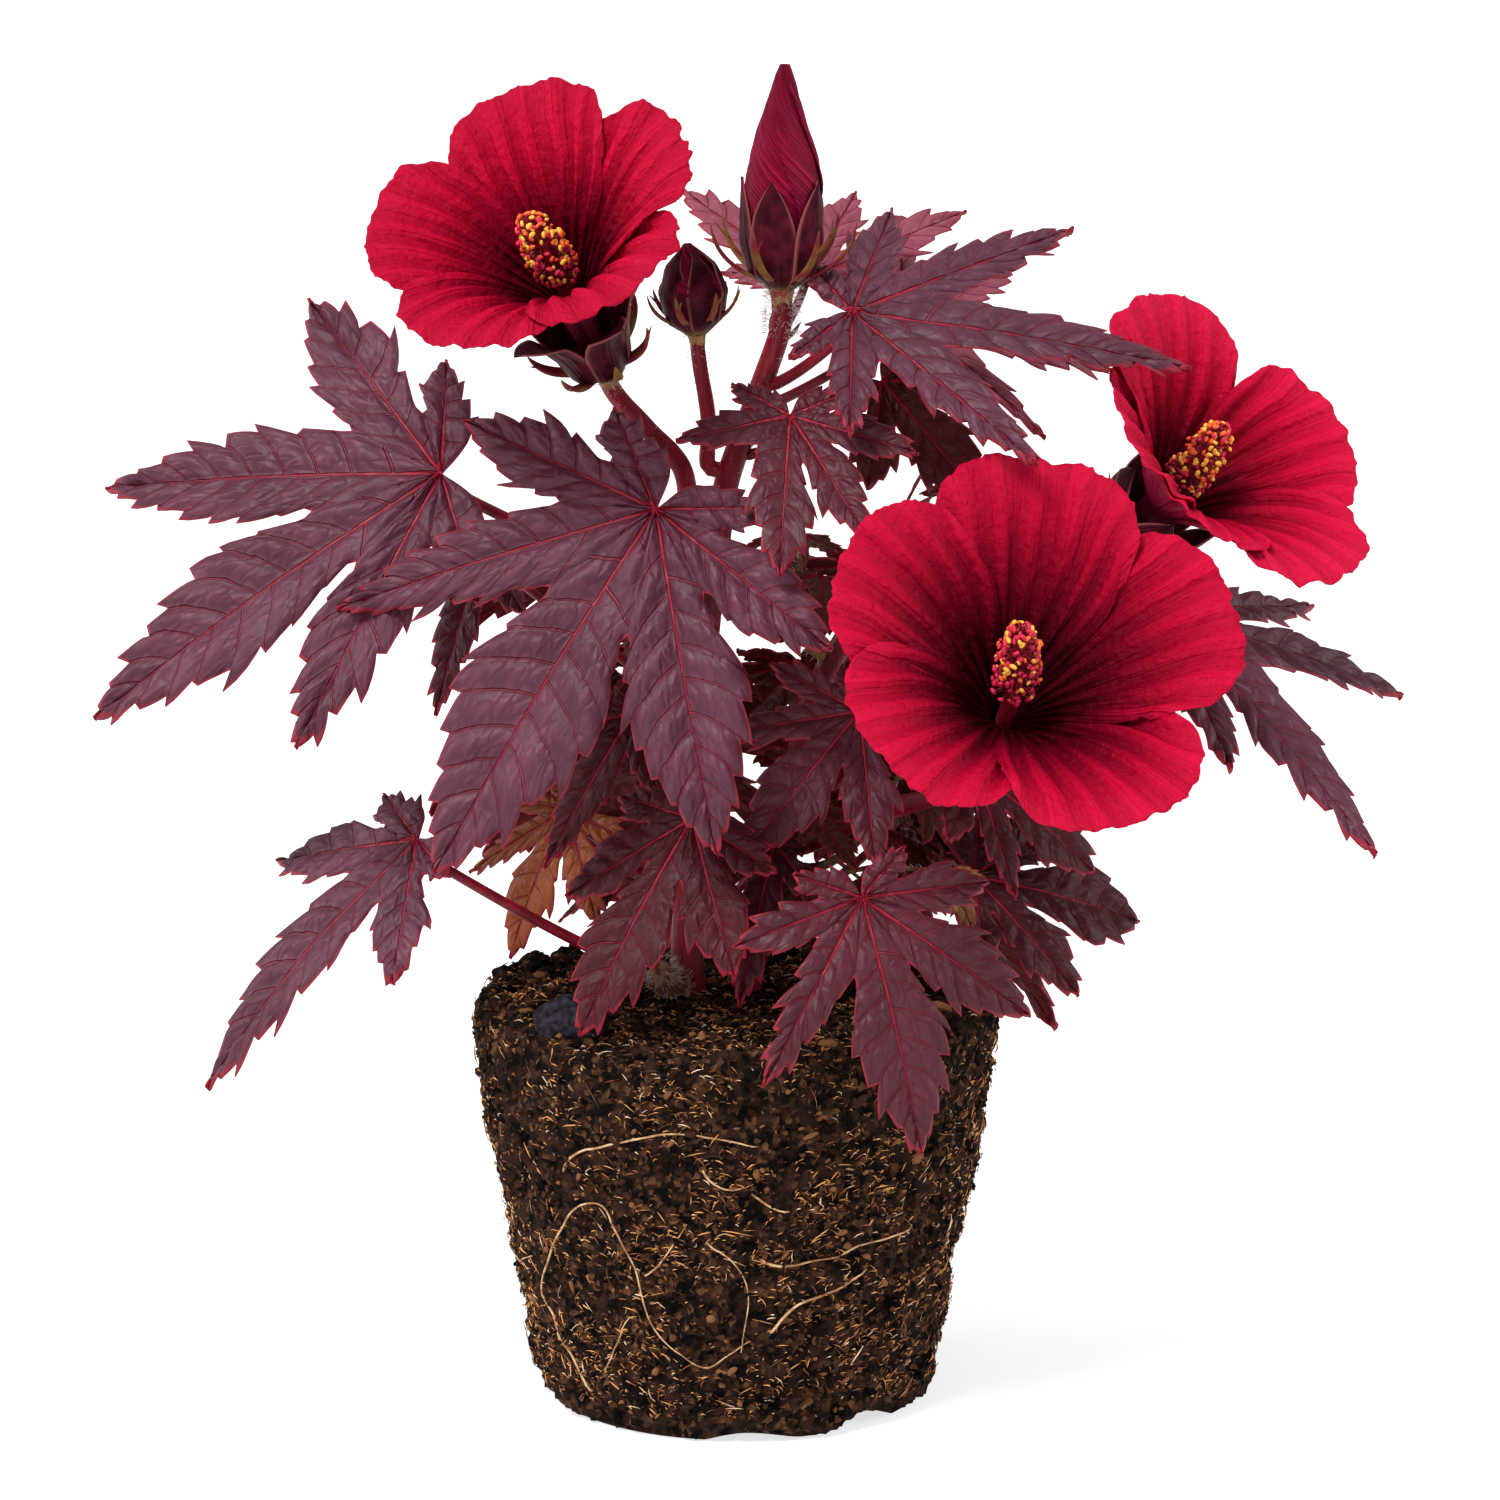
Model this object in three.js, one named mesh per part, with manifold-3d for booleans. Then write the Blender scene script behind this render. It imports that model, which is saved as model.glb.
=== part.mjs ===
// A hibiscus shrub in flower, standing on its bare root ball as it came out of its pot.
// Sizes are millimetres and +Z is up. The origin is the middle of the root ball's flat
// underside, and the side with the largest bloom faces -Y.
import * as THREE from 'three';
import Module from 'manifold-3d';

const wasm = await Module();
wasm.setup();
const { Manifold, Mesh: SolidMesh } = wasm;

const plant = new THREE.Group();

// Gap kept between a piece and what carries it
const CLEAR = 0.3;

// Numbers between 0 and 1 that are the same in every run
function seeded(seed) {
  let state = seed >>> 0;
  return () => {
    state = (Math.imul(state, 1664525) + 1013904223) >>> 0;
    return state / 4294967296;
  };
}

function point(x, y, z) {
  return new THREE.Vector3(x, y, z);
}

// The direction at an azimuth from -Y toward +X and an elevation above level, in degrees
function direction(azimuth, elevation) {
  const around = THREE.MathUtils.degToRad(azimuth);
  const above = THREE.MathUtils.degToRad(elevation);
  const level = Math.cos(above);
  return point(Math.sin(around) * level, -Math.cos(around) * level, Math.sin(above));
}

// A closed solid from corners and faces that are indexed by three
function solidFrom(corners, faces) {
  const mesh = new SolidMesh({
    numProp: 3,
    vertProperties: Float32Array.from(corners.flatMap((p) => [p.x, p.y, p.z])),
    triVerts: Uint32Array.from(faces.flat()),
  });
  mesh.merge();
  return new Manifold(mesh);
}

// A named mesh of one colour from a solid, added to the plant
function addNode(name, solid, colour, roughness) {
  const mesh = solid.getMesh();
  const geometry = new THREE.BufferGeometry();
  const places = new Float32Array(mesh.numVert * 3);
  for (let i = 0; i < mesh.numVert; i += 1) {
    places.set(mesh.vertProperties.slice(i * mesh.numProp, i * mesh.numProp + 3), i * 3);
  }
  geometry.setAttribute('position', new THREE.BufferAttribute(places, 3));
  geometry.setIndex(new THREE.BufferAttribute(Uint32Array.from(mesh.triVerts), 1));
  geometry.computeVertexNormals();
  const material = new THREE.MeshStandardMaterial({ color: colour, roughness, metalness: 0 });
  const node = new THREE.Mesh(geometry, material);
  node.name = name;
  plant.add(node);
}

// Rings of corners skinned into a closed solid, with a flat cap at each end
function skin(rings) {
  const sides = rings[0].length;
  const corners = rings.flat();
  const faces = [];
  for (let ring = 0; ring < rings.length - 1; ring += 1) {
    for (let side = 0; side < sides; side += 1) {
      const a = ring * sides + side;
      const b = ring * sides + ((side + 1) % sides);
      faces.push([a, b, b + sides], [a, b + sides, a + sides]);
    }
  }
  const last = (rings.length - 1) * sides;
  for (let side = 1; side < sides - 1; side += 1) {
    faces.push([0, side + 1, side], [last, last + side, last + side + 1]);
  }
  return solidFrom(corners, faces);
}

// A tapering rod along a curve
function rod(curve, radiusAt, sides, steps) {
  const frames = curve.computeFrenetFrames(steps, false);
  const rings = [];
  for (let step = 0; step <= steps; step += 1) {
    const centre = curve.getPointAt(step / steps);
    const ring = [];
    for (let side = 0; side < sides; side += 1) {
      const turn = (2 * Math.PI * side) / sides;
      ring.push(centre.clone()
        .addScaledVector(frames.normals[step], Math.cos(turn) * radiusAt(step / steps))
        .addScaledVector(frames.binormals[step], Math.sin(turn) * radiusAt(step / steps)));
    }
    rings.push(ring);
  }
  return skin(rings);
}

// A shape turned round an axis from [distance along the axis, radius] pairs
function turned(foot, axis, profile, sides, phase = 0) {
  const across = acrossOf(axis, phase);
  const over = axis.clone().cross(across);
  const rings = profile.map(([along, radius]) => {
    const ring = [];
    for (let side = 0; side < sides; side += 1) {
      const turn = (2 * Math.PI * side) / sides;
      ring.push(foot.clone().addScaledVector(axis, along)
        .addScaledVector(across, Math.cos(turn) * radius)
        .addScaledVector(over, Math.sin(turn) * radius));
    }
    return ring;
  });
  return skin(rings);
}

// The direction square to an axis that lies uppermost, turned round it by a phase in degrees
function acrossOf(axis, phase) {
  const up = point(0, 0, 1);
  const across = up.addScaledVector(axis, -up.dot(axis)).normalize();
  return across.applyAxisAngle(axis, THREE.MathUtils.degToRad(phase));
}

// Root ball: a cone frustum of peat with its top rim crumbled round and a shallow dome
const BALL_HEIGHT = 110;
const BALL_FOOT_RADIUS = 53;
const BALL_TOP_RADIUS = 69.5;
const BALL_SIDES = 40;
const BALL_UNEVEN = 0.8;

function rootBall() {
  const random = seeded(11);
  const profile = [
    [0, BALL_FOOT_RADIUS - 4],
    [4, BALL_FOOT_RADIUS],
    [BALL_HEIGHT * 0.3, BALL_FOOT_RADIUS + (BALL_TOP_RADIUS - BALL_FOOT_RADIUS) * 0.34],
    [BALL_HEIGHT * 0.6, BALL_FOOT_RADIUS + (BALL_TOP_RADIUS - BALL_FOOT_RADIUS) * 0.66],
    [BALL_HEIGHT - 12, BALL_TOP_RADIUS - 1],
    [BALL_HEIGHT - 5, BALL_TOP_RADIUS],
    [BALL_HEIGHT - 1.5, BALL_TOP_RADIUS - 3.5],
    [BALL_HEIGHT, BALL_TOP_RADIUS - 14],
  ];
  const rings = profile.map(([height, radius], row) => {
    const ring = [];
    for (let side = 0; side < BALL_SIDES; side += 1) {
      const turn = (2 * Math.PI * side) / BALL_SIDES;
      const uneven = row === 0 ? 0 : (random() - 0.5) * 2 * BALL_UNEVEN;
      ring.push(point(
        Math.cos(turn) * (radius + uneven),
        Math.sin(turn) * (radius + uneven),
        height,
      ));
    }
    return ring;
  });
  const ball = skin(rings);
  const clod = Manifold.sphere(8, 12).scale([1.35, 0.9, 0.75]).translate([-42, -40, BALL_HEIGHT - 2]);
  return ball.add(clod);
}

addNode('root_ball', rootBall(), 0x2b1d14, 1.0);

// Blooms and buds: where the throat or foot is, which way it opens, and its own sizes, with
// each petal's reach over the rim radius.
// Azimuth runs from -Y toward +X and elevation is above level, both in degrees.
const blooms = {
  bloom_left: {
    throat: [-42, -22, 297], faces: [-25, 48], turn: 22,
    rim: 44, petals: [1, 1, 1.05, 1.06, 1], depth: 35, tube: 29, column: 27,
  },
  bloom_front: {
    throat: [69, -58, 196], faces: [13, 40], turn: 2,
    rim: 54, petals: [1.03, 1, 1, 1, 1], depth: 36, tube: 26, column: 36,
  },
  bloom_right: {
    throat: [111.6, 12, 237.4], faces: [48, 40], turn: -13,
    rim: 44.5, petals: [1.03, 0.96, 0.88, 1.06, 0.96], depth: 34, tube: 24, column: 29,
  },
};
const buds = {
  bud_tall: { foot: [12, -2, 296], faces: [20, 88], length: 59, radius: 9.4, calyx: 30 },
  bud_small: { foot: [-10, -4, 285], faces: [-80, 84], length: 24, radius: 8, calyx: 21 },
};
for (const bloom of Object.values(blooms)) {
  bloom.axis = direction(...bloom.faces);
  bloom.foot = point(...bloom.throat).addScaledVector(bloom.axis, -bloom.tube);
}
for (const bud of Object.values(buds)) {
  bud.axis = direction(...bud.faces);
  bud.foot = point(...bud.foot);
}

// Stems and boughs: each limb is a curve through a few places with its foot and tip radius.
// A limb starts at the soil, on the side of its carrier, or at the tip of the one it follows,
// and it ends in its last place or under the bloom that it holds up.
const SOIL = BALL_HEIGHT + CLEAR;
const BUTT = 4;
const STEM_COLOUR = 0x4f1529;
const limbs = {};

// Where a piece starts on a limb's side: its first point and the way it sets out
function seatOn(carrier, at, toward) {
  const centre = carrier.curve.getPointAt(at);
  const along = carrier.curve.getTangentAt(at);
  const out = toward.clone().sub(centre);
  out.addScaledVector(along, -out.dot(along)).normalize();
  return { start: centre.addScaledVector(out, carrier.radiusAt(at) + CLEAR), out };
}

function limbStart({ carrier, at, follows, places, foot }) {
  const first = point(...places[0]);
  if (carrier) {
    const seat = seatOn(limbs[carrier], at, first);
    return [seat.start, seat.start.clone().addScaledVector(seat.out, foot)];
  }
  if (follows) {
    const tangent = limbs[follows].curve.getTangentAt(1);
    const start = limbs[follows].curve.getPointAt(1).addScaledVector(tangent, CLEAR);
    return [start, start.clone().addScaledVector(tangent, BUTT)];
  }
  return [first.clone().setZ(SOIL - BUTT), first.clone().setZ(SOIL + BUTT)];
}

function addLimb(name, { places, foot, tip, carrier, at, follows, holds, flare = 0 }) {
  const ending = holds
    ? [-2 * BUTT, -CLEAR].map((back) => holds.foot.clone().addScaledVector(holds.axis, back))
    : [];
  const middle = places.map((place) => point(...place));
  const opening = limbStart({ carrier, at, follows, places, foot });
  const curve = new THREE.CatmullRomCurve3([...opening, ...middle, ...ending], false, 'centripetal');
  const radiusAt = (t) => THREE.MathUtils.lerp(foot, tip, t) + flare * Math.exp(-t * 14);
  limbs[name] = { curve, radiusAt };
  const sides = 8;
  const steps = Math.max(6, Math.round(curve.getLength() / 9));
  let solid = rod(curve, radiusAt, sides, steps);
  if (!carrier && !follows) {
    solid = solid.trimByPlane([0, 0, 1], SOIL);
  }
  addNode(name, solid, STEM_COLOUR, 0.6);
}

addLimb('main_stem', {
  places: [[-13, -2, 112], [-12, 0, 150], [-9, 2, 195], [-4, 0, 236]],
  foot: 4.4, tip: 3.4, flare: 1.6,
});
addLimb('right_stem', {
  places: [[3, 8, 112], [13, 9, 148], [20, 8, 185], [34, 8, 212]],
  foot: 3.9, tip: 2.9, flare: 1.1,
});
addLimb('bud_bough', {
  places: [[-1, -1, 250], [8, -2, 275]], follows: 'main_stem', holds: buds.bud_tall, foot: 3.4, tip: 2.7,
});
addLimb('left_bloom_bough', {
  places: [[-14, -3, 250], [-22.5, -4, 260]],
  carrier: 'main_stem', at: 0.97, holds: blooms.bloom_left, foot: 2.8, tip: 2.4,
});
addLimb('small_bud_bough', {
  places: [[-7, -3, 262]], carrier: 'bud_bough', at: 0.2, holds: buds.bud_small, foot: 2.1, tip: 1.9,
});
addLimb('right_bloom_bough', {
  places: [[58, 15, 214]],
  follows: 'right_stem', holds: blooms.bloom_right, foot: 2.8, tip: 2.3,
});
addLimb('front_bloom_bough', {
  places: [[34, -8, 158], [52, -26, 168]],
  carrier: 'right_stem', at: 0.42, holds: blooms.bloom_front, foot: 2.8, tip: 2.5,
});

// A leaf is a flat hand of pointed lobes that is then folded along each midrib and let droop.
// Lobes are [turn from the middle one in degrees, length over the leaf's own length].
const LOBES = {
  broad: [[-124, 0.28], [-84, 0.54], [-43, 0.82], [0, 1], [43, 0.82], [84, 0.54], [124, 0.28]],
  windswept: [[-121, 0.3], [-86, 0.62], [-36, 0.86], [0, 1], [32, 0.74], [76, 0.36]],
  narrow: [[-92, 0.3], [-50, 0.6], [0, 1], [50, 0.52], [92, 0.22]],
  lopsided: [[-84, 0.36], [-33, 0.62], [0, 1], [45, 0.72], [84, 0.45]],
  swept: [[-52, 0.5], [-26, 0.68], [0, 1], [60, 0.87], [88, 0.74]],
  splayed: [[-84, 0.5], [-32, 1], [0, 0.78], [55, 1], [96, 0.4]],
  folded: [[-125, 0.4], [-76, 0.62], [0, 1], [31, 0.86], [74, 0.72], [122, 0.42]],
  young: [[-62, 0.58], [0, 1], [62, 0.58]],
};
const FOLD = 0.14;
const BLADE_THICKNESS = 0.015;
const STATIONS = [0, 0.3, 0.64, 1];
const YOUNG_STATIONS = [0, 0.34, 1];

// How far the cut between two lobes lies from the foot, from the shorter lobe's share
function cutDepth(shorter) {
  return 0.12 + 0.34 * shorter;
}

// Half a lobe's width at u, from 0 at the cut to 1 at the tip
function halfWidth(u, atCut, widest) {
  const crest = 0.3;
  if (u < crest) {
    return atCut + (widest - atCut) * Math.sin((Math.PI / 2) * (u / crest));
  }
  const v = (u - crest) / (1 - crest);
  return widest * (1 - v) ** 1.15 * (1 + 0.35 * v);
}

// The leaf's own directions: its face, its middle lobe and the way across
function leafAxes({ faces, heading }) {
  const face = direction(...faces);
  const down = point(0, 0, -1).addScaledVector(face, face.z).normalize();
  const along = down.applyAxisAngle(face, THREE.MathUtils.degToRad(heading));
  return { face, along, across: face.clone().cross(along) };
}

// The flat leaf of length 1: corners [along, across, distance from the midrib], which of them
// lie on the edge, and triangles that run the same way round
function flatLeaf(lobes, stations) {
  const corners = [[0, 0, 0]];
  const onEdge = [false];
  const faces = [];
  const add = (x, y, out, edge) => {
    corners.push([x, y, out]);
    onEdge.push(edge);
    return corners.length - 1;
  };
  const addFace = (a, b, c) => {
    const [p, q, r] = [a, b, c].map((i) => corners[i]);
    const area = (q[0] - p[0]) * (r[1] - p[1]) - (r[0] - p[0]) * (q[1] - p[1]);
    faces.push(area > 0 ? [a, b, c] : [a, c, b]);
  };
  const gaps = lobes.slice(1).map(([turn, share], i) => {
    const [before, shareBefore] = lobes[i];
    const half = THREE.MathUtils.degToRad((turn - before) / 2);
    const cut = cutDepth(Math.min(share, shareBefore));
    const middle = THREE.MathUtils.degToRad((turn + before) / 2);
    const out = cut * Math.sin(half);
    return { half, cut, corner: add(cut * Math.cos(middle), cut * Math.sin(middle), out, true) };
  });
  lobes.forEach(([turn, share], i) => {
    const rad = THREE.MathUtils.degToRad(turn);
    const place = (along, out, side, edge) => add(
      along * Math.cos(rad) - side * out * Math.sin(rad),
      along * Math.sin(rad) + side * out * Math.cos(rad),
      out, edge,
    );
    const sides = [[-1, gaps[i - 1]], [1, gaps[i]]];
    const starts = sides.map(([, gap]) => (gap ? (gap.cut * Math.cos(gap.half)) / share : 0));
    const ribStart = Math.max(...starts);
    const inner = stations.slice(0, -1);
    const rib = inner.map((u) => place(share * (ribStart + (1 - ribStart) * u), 0, 1, false));
    const tip = place(share, 0, 1, true);
    sides.forEach(([side, gap], which) => {
      const atCut = gap ? gap.cut * Math.sin(gap.half) : 0;
      const widest = Math.max(0.05 + 0.135 * share, atCut * 1.02);
      const edge = inner.map((u) => {
        if (u === 0) {
          return gap ? gap.corner : 0;
        }
        const along = share * (starts[which] + (1 - starts[which]) * u);
        const room = gap ? along * Math.tan(gap.half) * 0.95 : Infinity;
        return place(along, Math.min(halfWidth(u, atCut, widest), room), side, true);
      });
      if (gap) {
        addFace(0, rib[0], edge[0]);
      }
      for (let k = 0; k < inner.length - 1; k += 1) {
        addFace(rib[k], rib[k + 1], edge[k + 1]);
        addFace(rib[k], edge[k + 1], edge[k]);
      }
      addFace(rib[inner.length - 1], tip, edge[inner.length - 1]);
    });
  });
  return { corners, onEdge, faces };
}

// A leaf blade as a thin lens: full thickness inside, running out to nothing at the edge
function blade(leaf, stations) {
  const { face, along, across } = leafAxes(leaf);
  const foot = point(...leaf.foot);
  const { corners, onEdge, faces } = flatLeaf(LOBES[leaf.lobes], stations);
  const thickness = Math.max(leaf.length * BLADE_THICKNESS, 0.8);
  const upper = corners.map(([x, y, out]) => {
    const lift = FOLD * out - leaf.droop * (x * x + y * y);
    return foot.clone().addScaledVector(along, x * leaf.length)
      .addScaledVector(across, y * leaf.length).addScaledVector(face, lift * leaf.length);
  });
  const places = [...upper];
  const lower = upper.map((corner, i) => {
    if (onEdge[i]) {
      return i;
    }
    places.push(corner.clone().addScaledVector(face, -thickness));
    return places.length - 1;
  });
  const shell = [...faces, ...faces.map(([a, b, c]) => [lower[a], lower[c], lower[b]])];
  const edges = new Map();
  for (const [a, b, c] of faces) {
    for (const [from, to] of [[a, b], [b, c], [c, a]]) {
      edges.set(`${from} ${to}`, [from, to]);
    }
  }
  for (const [from, to] of edges.values()) {
    const open = !edges.has(`${to} ${from}`);
    if (open && lower[from] !== from) {
      shell.push([from, lower[from], to]);
    }
    if (open && lower[to] !== to) {
      shell.push([from, lower[to], to]);
    }
  }
  return solidFrom(places, shell);
}

// The leaf stalk: from the carrier's side, first straight out and then up under the blade
function stalk(leaf, seat, radius, sides, steps) {
  const { face, along } = leafAxes(leaf);
  const foot = point(...leaf.foot).addScaledVector(face, -radius * 0.5).addScaledVector(along, radius * 1.6);
  const span = foot.distanceTo(seat.start);
  const chord = foot.clone().sub(seat.start).normalize();
  const arriving = chord.multiplyScalar(0.7).addScaledVector(face, 0.5).normalize();
  const curve = new THREE.CubicBezierCurve3(
    seat.start,
    seat.start.clone().addScaledVector(seat.out, span * 0.3),
    foot.clone().addScaledVector(arriving, -span * 0.35),
    foot,
  );
  return rod(curve, (t) => radius * (1.15 - 0.25 * t), sides, steps);
}

function leafSolid(leaf) {
  const seat = seatOn(limbs[leaf.limb], leaf.at, point(...leaf.foot));
  const radius = 0.75 + leaf.length * 0.0055;
  return blade(leaf, STATIONS).add(stalk(leaf, seat, radius, 5, 6));
}

// The large leaves: where the blade's foot is, which way its upper face looks, how far its
// middle lobe is turned from straight downhill, and the limb that its stalk grows from
const leaves = [
  { name: 'leaf_left_upper', foot: [-76, -13, 250], faces: [-14, 35], heading: -52,
    length: 110, droop: 0.11, lobes: 'windswept', limb: 'main_stem', at: 0.84 },
  { name: 'leaf_front_large', foot: [-20, -45, 246], faces: [-10, 25], heading: -30,
    length: 107, droop: 0.16, lobes: 'broad', limb: 'main_stem', at: 0.72 },
  { name: 'leaf_left_inner', foot: [-66, 8, 227], faces: [-30, 30], heading: -5,
    length: 46, droop: 0.12, lobes: 'narrow', limb: 'main_stem', at: 0.64 },
  { name: 'leaf_left_low', foot: [-83, -15, 153], faces: [-45, 45], heading: -25,
    length: 85, droop: 0.15, lobes: 'narrow', limb: 'main_stem', at: 0.07 },
  { name: 'leaf_left_brown', foot: [-44, 14, 155], faces: [-35, 35], heading: -10,
    length: 42, droop: 0.15, lobes: 'broad', limb: 'main_stem', at: 0.25 },
  { name: 'leaf_front_low', foot: [-11, -42, 165], faces: [-20, 36], heading: -20,
    length: 62, droop: 0.14, lobes: 'lopsided', limb: 'main_stem', at: 0.32 },
  { name: 'leaf_inner_low', foot: [10, -26, 155], faces: [0, 30], heading: -12,
    length: 44, droop: 0.12, lobes: 'narrow', limb: 'main_stem', at: 0.2 },
  { name: 'leaf_front_foot', foot: [32, -62, 149], faces: [16, 24], heading: 10,
    length: 66, droop: 0.15, lobes: 'broad', limb: 'right_stem', at: 0.16 },
  { name: 'leaf_right_low', foot: [62, -17, 144], faces: [30, 40], heading: 72,
    length: 52, droop: 0.13, lobes: 'lopsided', limb: 'right_stem', at: 0.25 },
  { name: 'leaf_under_bloom', foot: [62, -14, 172], faces: [35, 35], heading: 44,
    length: 44, droop: 0.12, lobes: 'broad', limb: 'right_stem', at: 0.72 },
  { name: 'leaf_front_middle', foot: [32, -27, 190], faces: [5, 35], heading: -40,
    length: 50, droop: 0.12, lobes: 'broad', limb: 'right_stem', at: 0.68 },
  { name: 'leaf_top_middle', foot: [14, -32, 268], faces: [-5, 48], heading: 0,
    length: 48, droop: 0.1, lobes: 'folded', limb: 'bud_bough', at: 0.4 },
  { name: 'leaf_top_right', foot: [30, -15, 292], faces: [3, 60], heading: 80,
    length: 88, droop: 0.07, lobes: 'broad', limb: 'bud_bough', at: 0.62 },
  { name: 'leaf_behind_bud', foot: [18, 22, 295], faces: [0, 60], heading: 161,
    length: 56, droop: 0.05, lobes: 'splayed', limb: 'bud_bough', at: 0.8 },
  { name: 'leaf_right_pale', foot: [44, 30, 285], faces: [30, 55], heading: 70,
    length: 62, droop: 0.1, lobes: 'broad', limb: 'bud_bough', at: 0.5 },
  { name: 'leaf_right_folded', foot: [38, 2, 272], faces: [15, 20], heading: 38,
    length: 48, droop: 0.12, lobes: 'narrow', limb: 'bud_bough', at: 0.3 },
  { name: 'leaf_right_far', foot: [111, -11, 212], faces: [48, 60], heading: -1,
    length: 88, droop: 0.12, lobes: 'swept', limb: 'right_bloom_bough', at: 0.42 },
  { name: 'leaf_inner_hanging', foot: [-27, -10, 186], faces: [-15, 30], heading: -25,
    length: 46, droop: 0.12, lobes: 'narrow', limb: 'main_stem', at: 0.5 },
];

// The leaves of the side that faces +Y: they climb the two stems by the same golden turn,
// kept to the half circle behind, and each a little nearer the top is a little smaller
const BACK_LEAVES = 8;
const backRandom = seeded(5);
for (let i = 0; i < BACK_LEAVES; i += 1) {
  const share = i / (BACK_LEAVES - 1);
  const azimuth = 122 + 118 * ((i * 0.618) % 1);
  const limb = azimuth < 180 ? 'right_stem' : 'main_stem';
  const at = 0.22 + 0.6 * share;
  const stalkReach = direction(azimuth, 28).multiplyScalar(40 + 14 * backRandom());
  const foot = limbs[limb].curve.getPointAt(at).add(stalkReach);
  leaves.push({
    name: `leaf_back_${i + 1}`,
    foot: foot.toArray(),
    faces: [azimuth, 38 + 14 * backRandom()],
    heading: 30 * (backRandom() - 0.5),
    length: 78 - 20 * share,
    droop: 0.14,
    lobes: 'broad',
    limb,
    at,
  });
}

const LEAF_COLOUR = 0x4a2433;
for (const leaf of leaves) {
  addNode(leaf.name, leafSolid(leaf), LEAF_COLOUR, 0.55);
}

// Masses of small leaves: a shoot grows from a limb and carries young leaves by a seeded rule.
// Each leaf follows the last by the golden turn, on a short stalk that leans toward the tip.
// A leaf whose tip would leave the mass's room, or come near a limb, is skipped.
const GOLDEN_TURN = 137.5;
const tufts = {
  tuft_foot_left: { limb: 'main_stem', at: 0.16, heads: [-152, 52], reach: 30, count: 6, leaf: 24, seed: 2 },
  tuft_middle: { limb: 'right_stem', at: 0.34, heads: [40, 62], reach: 26, count: 6, leaf: 20, seed: 3 },
  tuft_right: { limb: 'right_stem', at: 0.36, heads: [70, 38], reach: 36, count: 6, leaf: 24, seed: 8 },
  tuft_inner_top: { limb: 'right_stem', at: 0.85, heads: [-40, 70], reach: 26, count: 6, leaf: 24, seed: 5 },
  tuft_back_left: { limb: 'main_stem', at: 0.6, heads: [190, 30], reach: 34, count: 6, leaf: 26, seed: 6 },
  tuft_back_right: { limb: 'right_bloom_bough', at: 0.35, heads: [165, 50], reach: 34, count: 6, leaf: 26, seed: 7 },
};

function nearLimb(place, own) {
  return Object.entries(limbs).some(([name, limb]) => {
    const room = limb.radiusAt(0) + (name === own ? 4 : 2);
    return limb.curve.getPoints(30).some((p) => p.distanceTo(place) < room);
  });
}

function tuftSolid({ limb, at, heads, reach, count, leaf, seed }) {
  const random = seeded(seed);
  const carrier = limbs[limb];
  const heading = direction(...heads);
  const seat = seatOn(carrier, at, carrier.curve.getPointAt(at).addScaledVector(heading, reach));
  const end = seat.start.clone().addScaledVector(heading, reach);
  const bend = seat.start.clone().addScaledVector(seat.out, reach * 0.4);
  const curve = new THREE.QuadraticBezierCurve3(seat.start, bend, end);
  const middle = seat.start.clone().lerp(end, 0.65);
  const room = reach * 0.55 + leaf;
  const pieces = [rod(curve, (t) => 1.5 - 0.6 * t, 6, 5)];
  for (let i = 0; i < count; i += 1) {
    const t = 0.3 + (0.7 * i) / (count - 1);
    const node = curve.getPointAt(t);
    const shoot = curve.getTangentAt(t);
    const out = acrossOf(shoot, GOLDEN_TURN * i);
    const leaning = out.clone().multiplyScalar(0.85).addScaledVector(shoot, 0.5).normalize();
    const length = leaf * (0.75 + 0.35 * random());
    const foot = node.clone().addScaledVector(leaning, length * 0.45);
    const azimuth = THREE.MathUtils.radToDeg(Math.atan2(leaning.x, -leaning.y));
    const row = {
      foot: foot.toArray(),
      faces: [azimuth + 30 * (random() - 0.5), 35 + 25 * random()],
      heading: 60 * (random() - 0.5),
      length, droop: 0.12, lobes: 'young',
    };
    const { along } = leafAxes(row);
    const tip = foot.clone().addScaledVector(along, length);
    const belly = foot.clone().lerp(tip, 0.5);
    const outside = tip.distanceTo(middle) > room || tip.z < SOIL + 3;
    const touching = [foot, belly, tip].some((place) => nearLimb(place, limb));
    if (!outside && !touching) {
      const stem = new THREE.LineCurve3(node, foot.clone().addScaledVector(along, 1.2));
      pieces.push(blade(row, YOUNG_STATIONS), rod(stem, () => 0.6, 3, 1));
    }
  }
  return Manifold.union(pieces);
}

for (const [name, tuft] of Object.entries(tufts)) {
  addNode(name, tuftSolid(tuft), LEAF_COLOUR, 0.6);
}

// A cup of five pointed sepals round an axis, flat underneath
function calyx(foot, axis, { radius, height, spread, turn }) {
  const sides = 10;
  const across = acrossOf(axis, turn);
  const over = axis.clone().cross(across);
  const ringAt = (along, near, far) => Array.from({ length: sides }, (_, side) => {
    const angle = (2 * Math.PI * side) / sides;
    const [rise, out] = side % 2 === 0 ? [along[0], far] : [along[1], near];
    return foot.clone().addScaledVector(axis, rise)
      .addScaledVector(across, Math.cos(angle) * out)
      .addScaledVector(over, Math.sin(angle) * out);
  });
  return skin([
    ringAt([0, 0], 2.6, 2.6),
    ringAt([height * 0.2, height * 0.2], radius * 0.8, radius * 0.8),
    ringAt([height * 0.5, height * 0.5], radius, radius * 1.08),
    ringAt([height, height * 0.55], radius * 0.9, radius + spread),
    ringAt([height * 0.98, height * 0.56], radius * 0.4, radius + spread - 1.5),
  ]);
}

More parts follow.
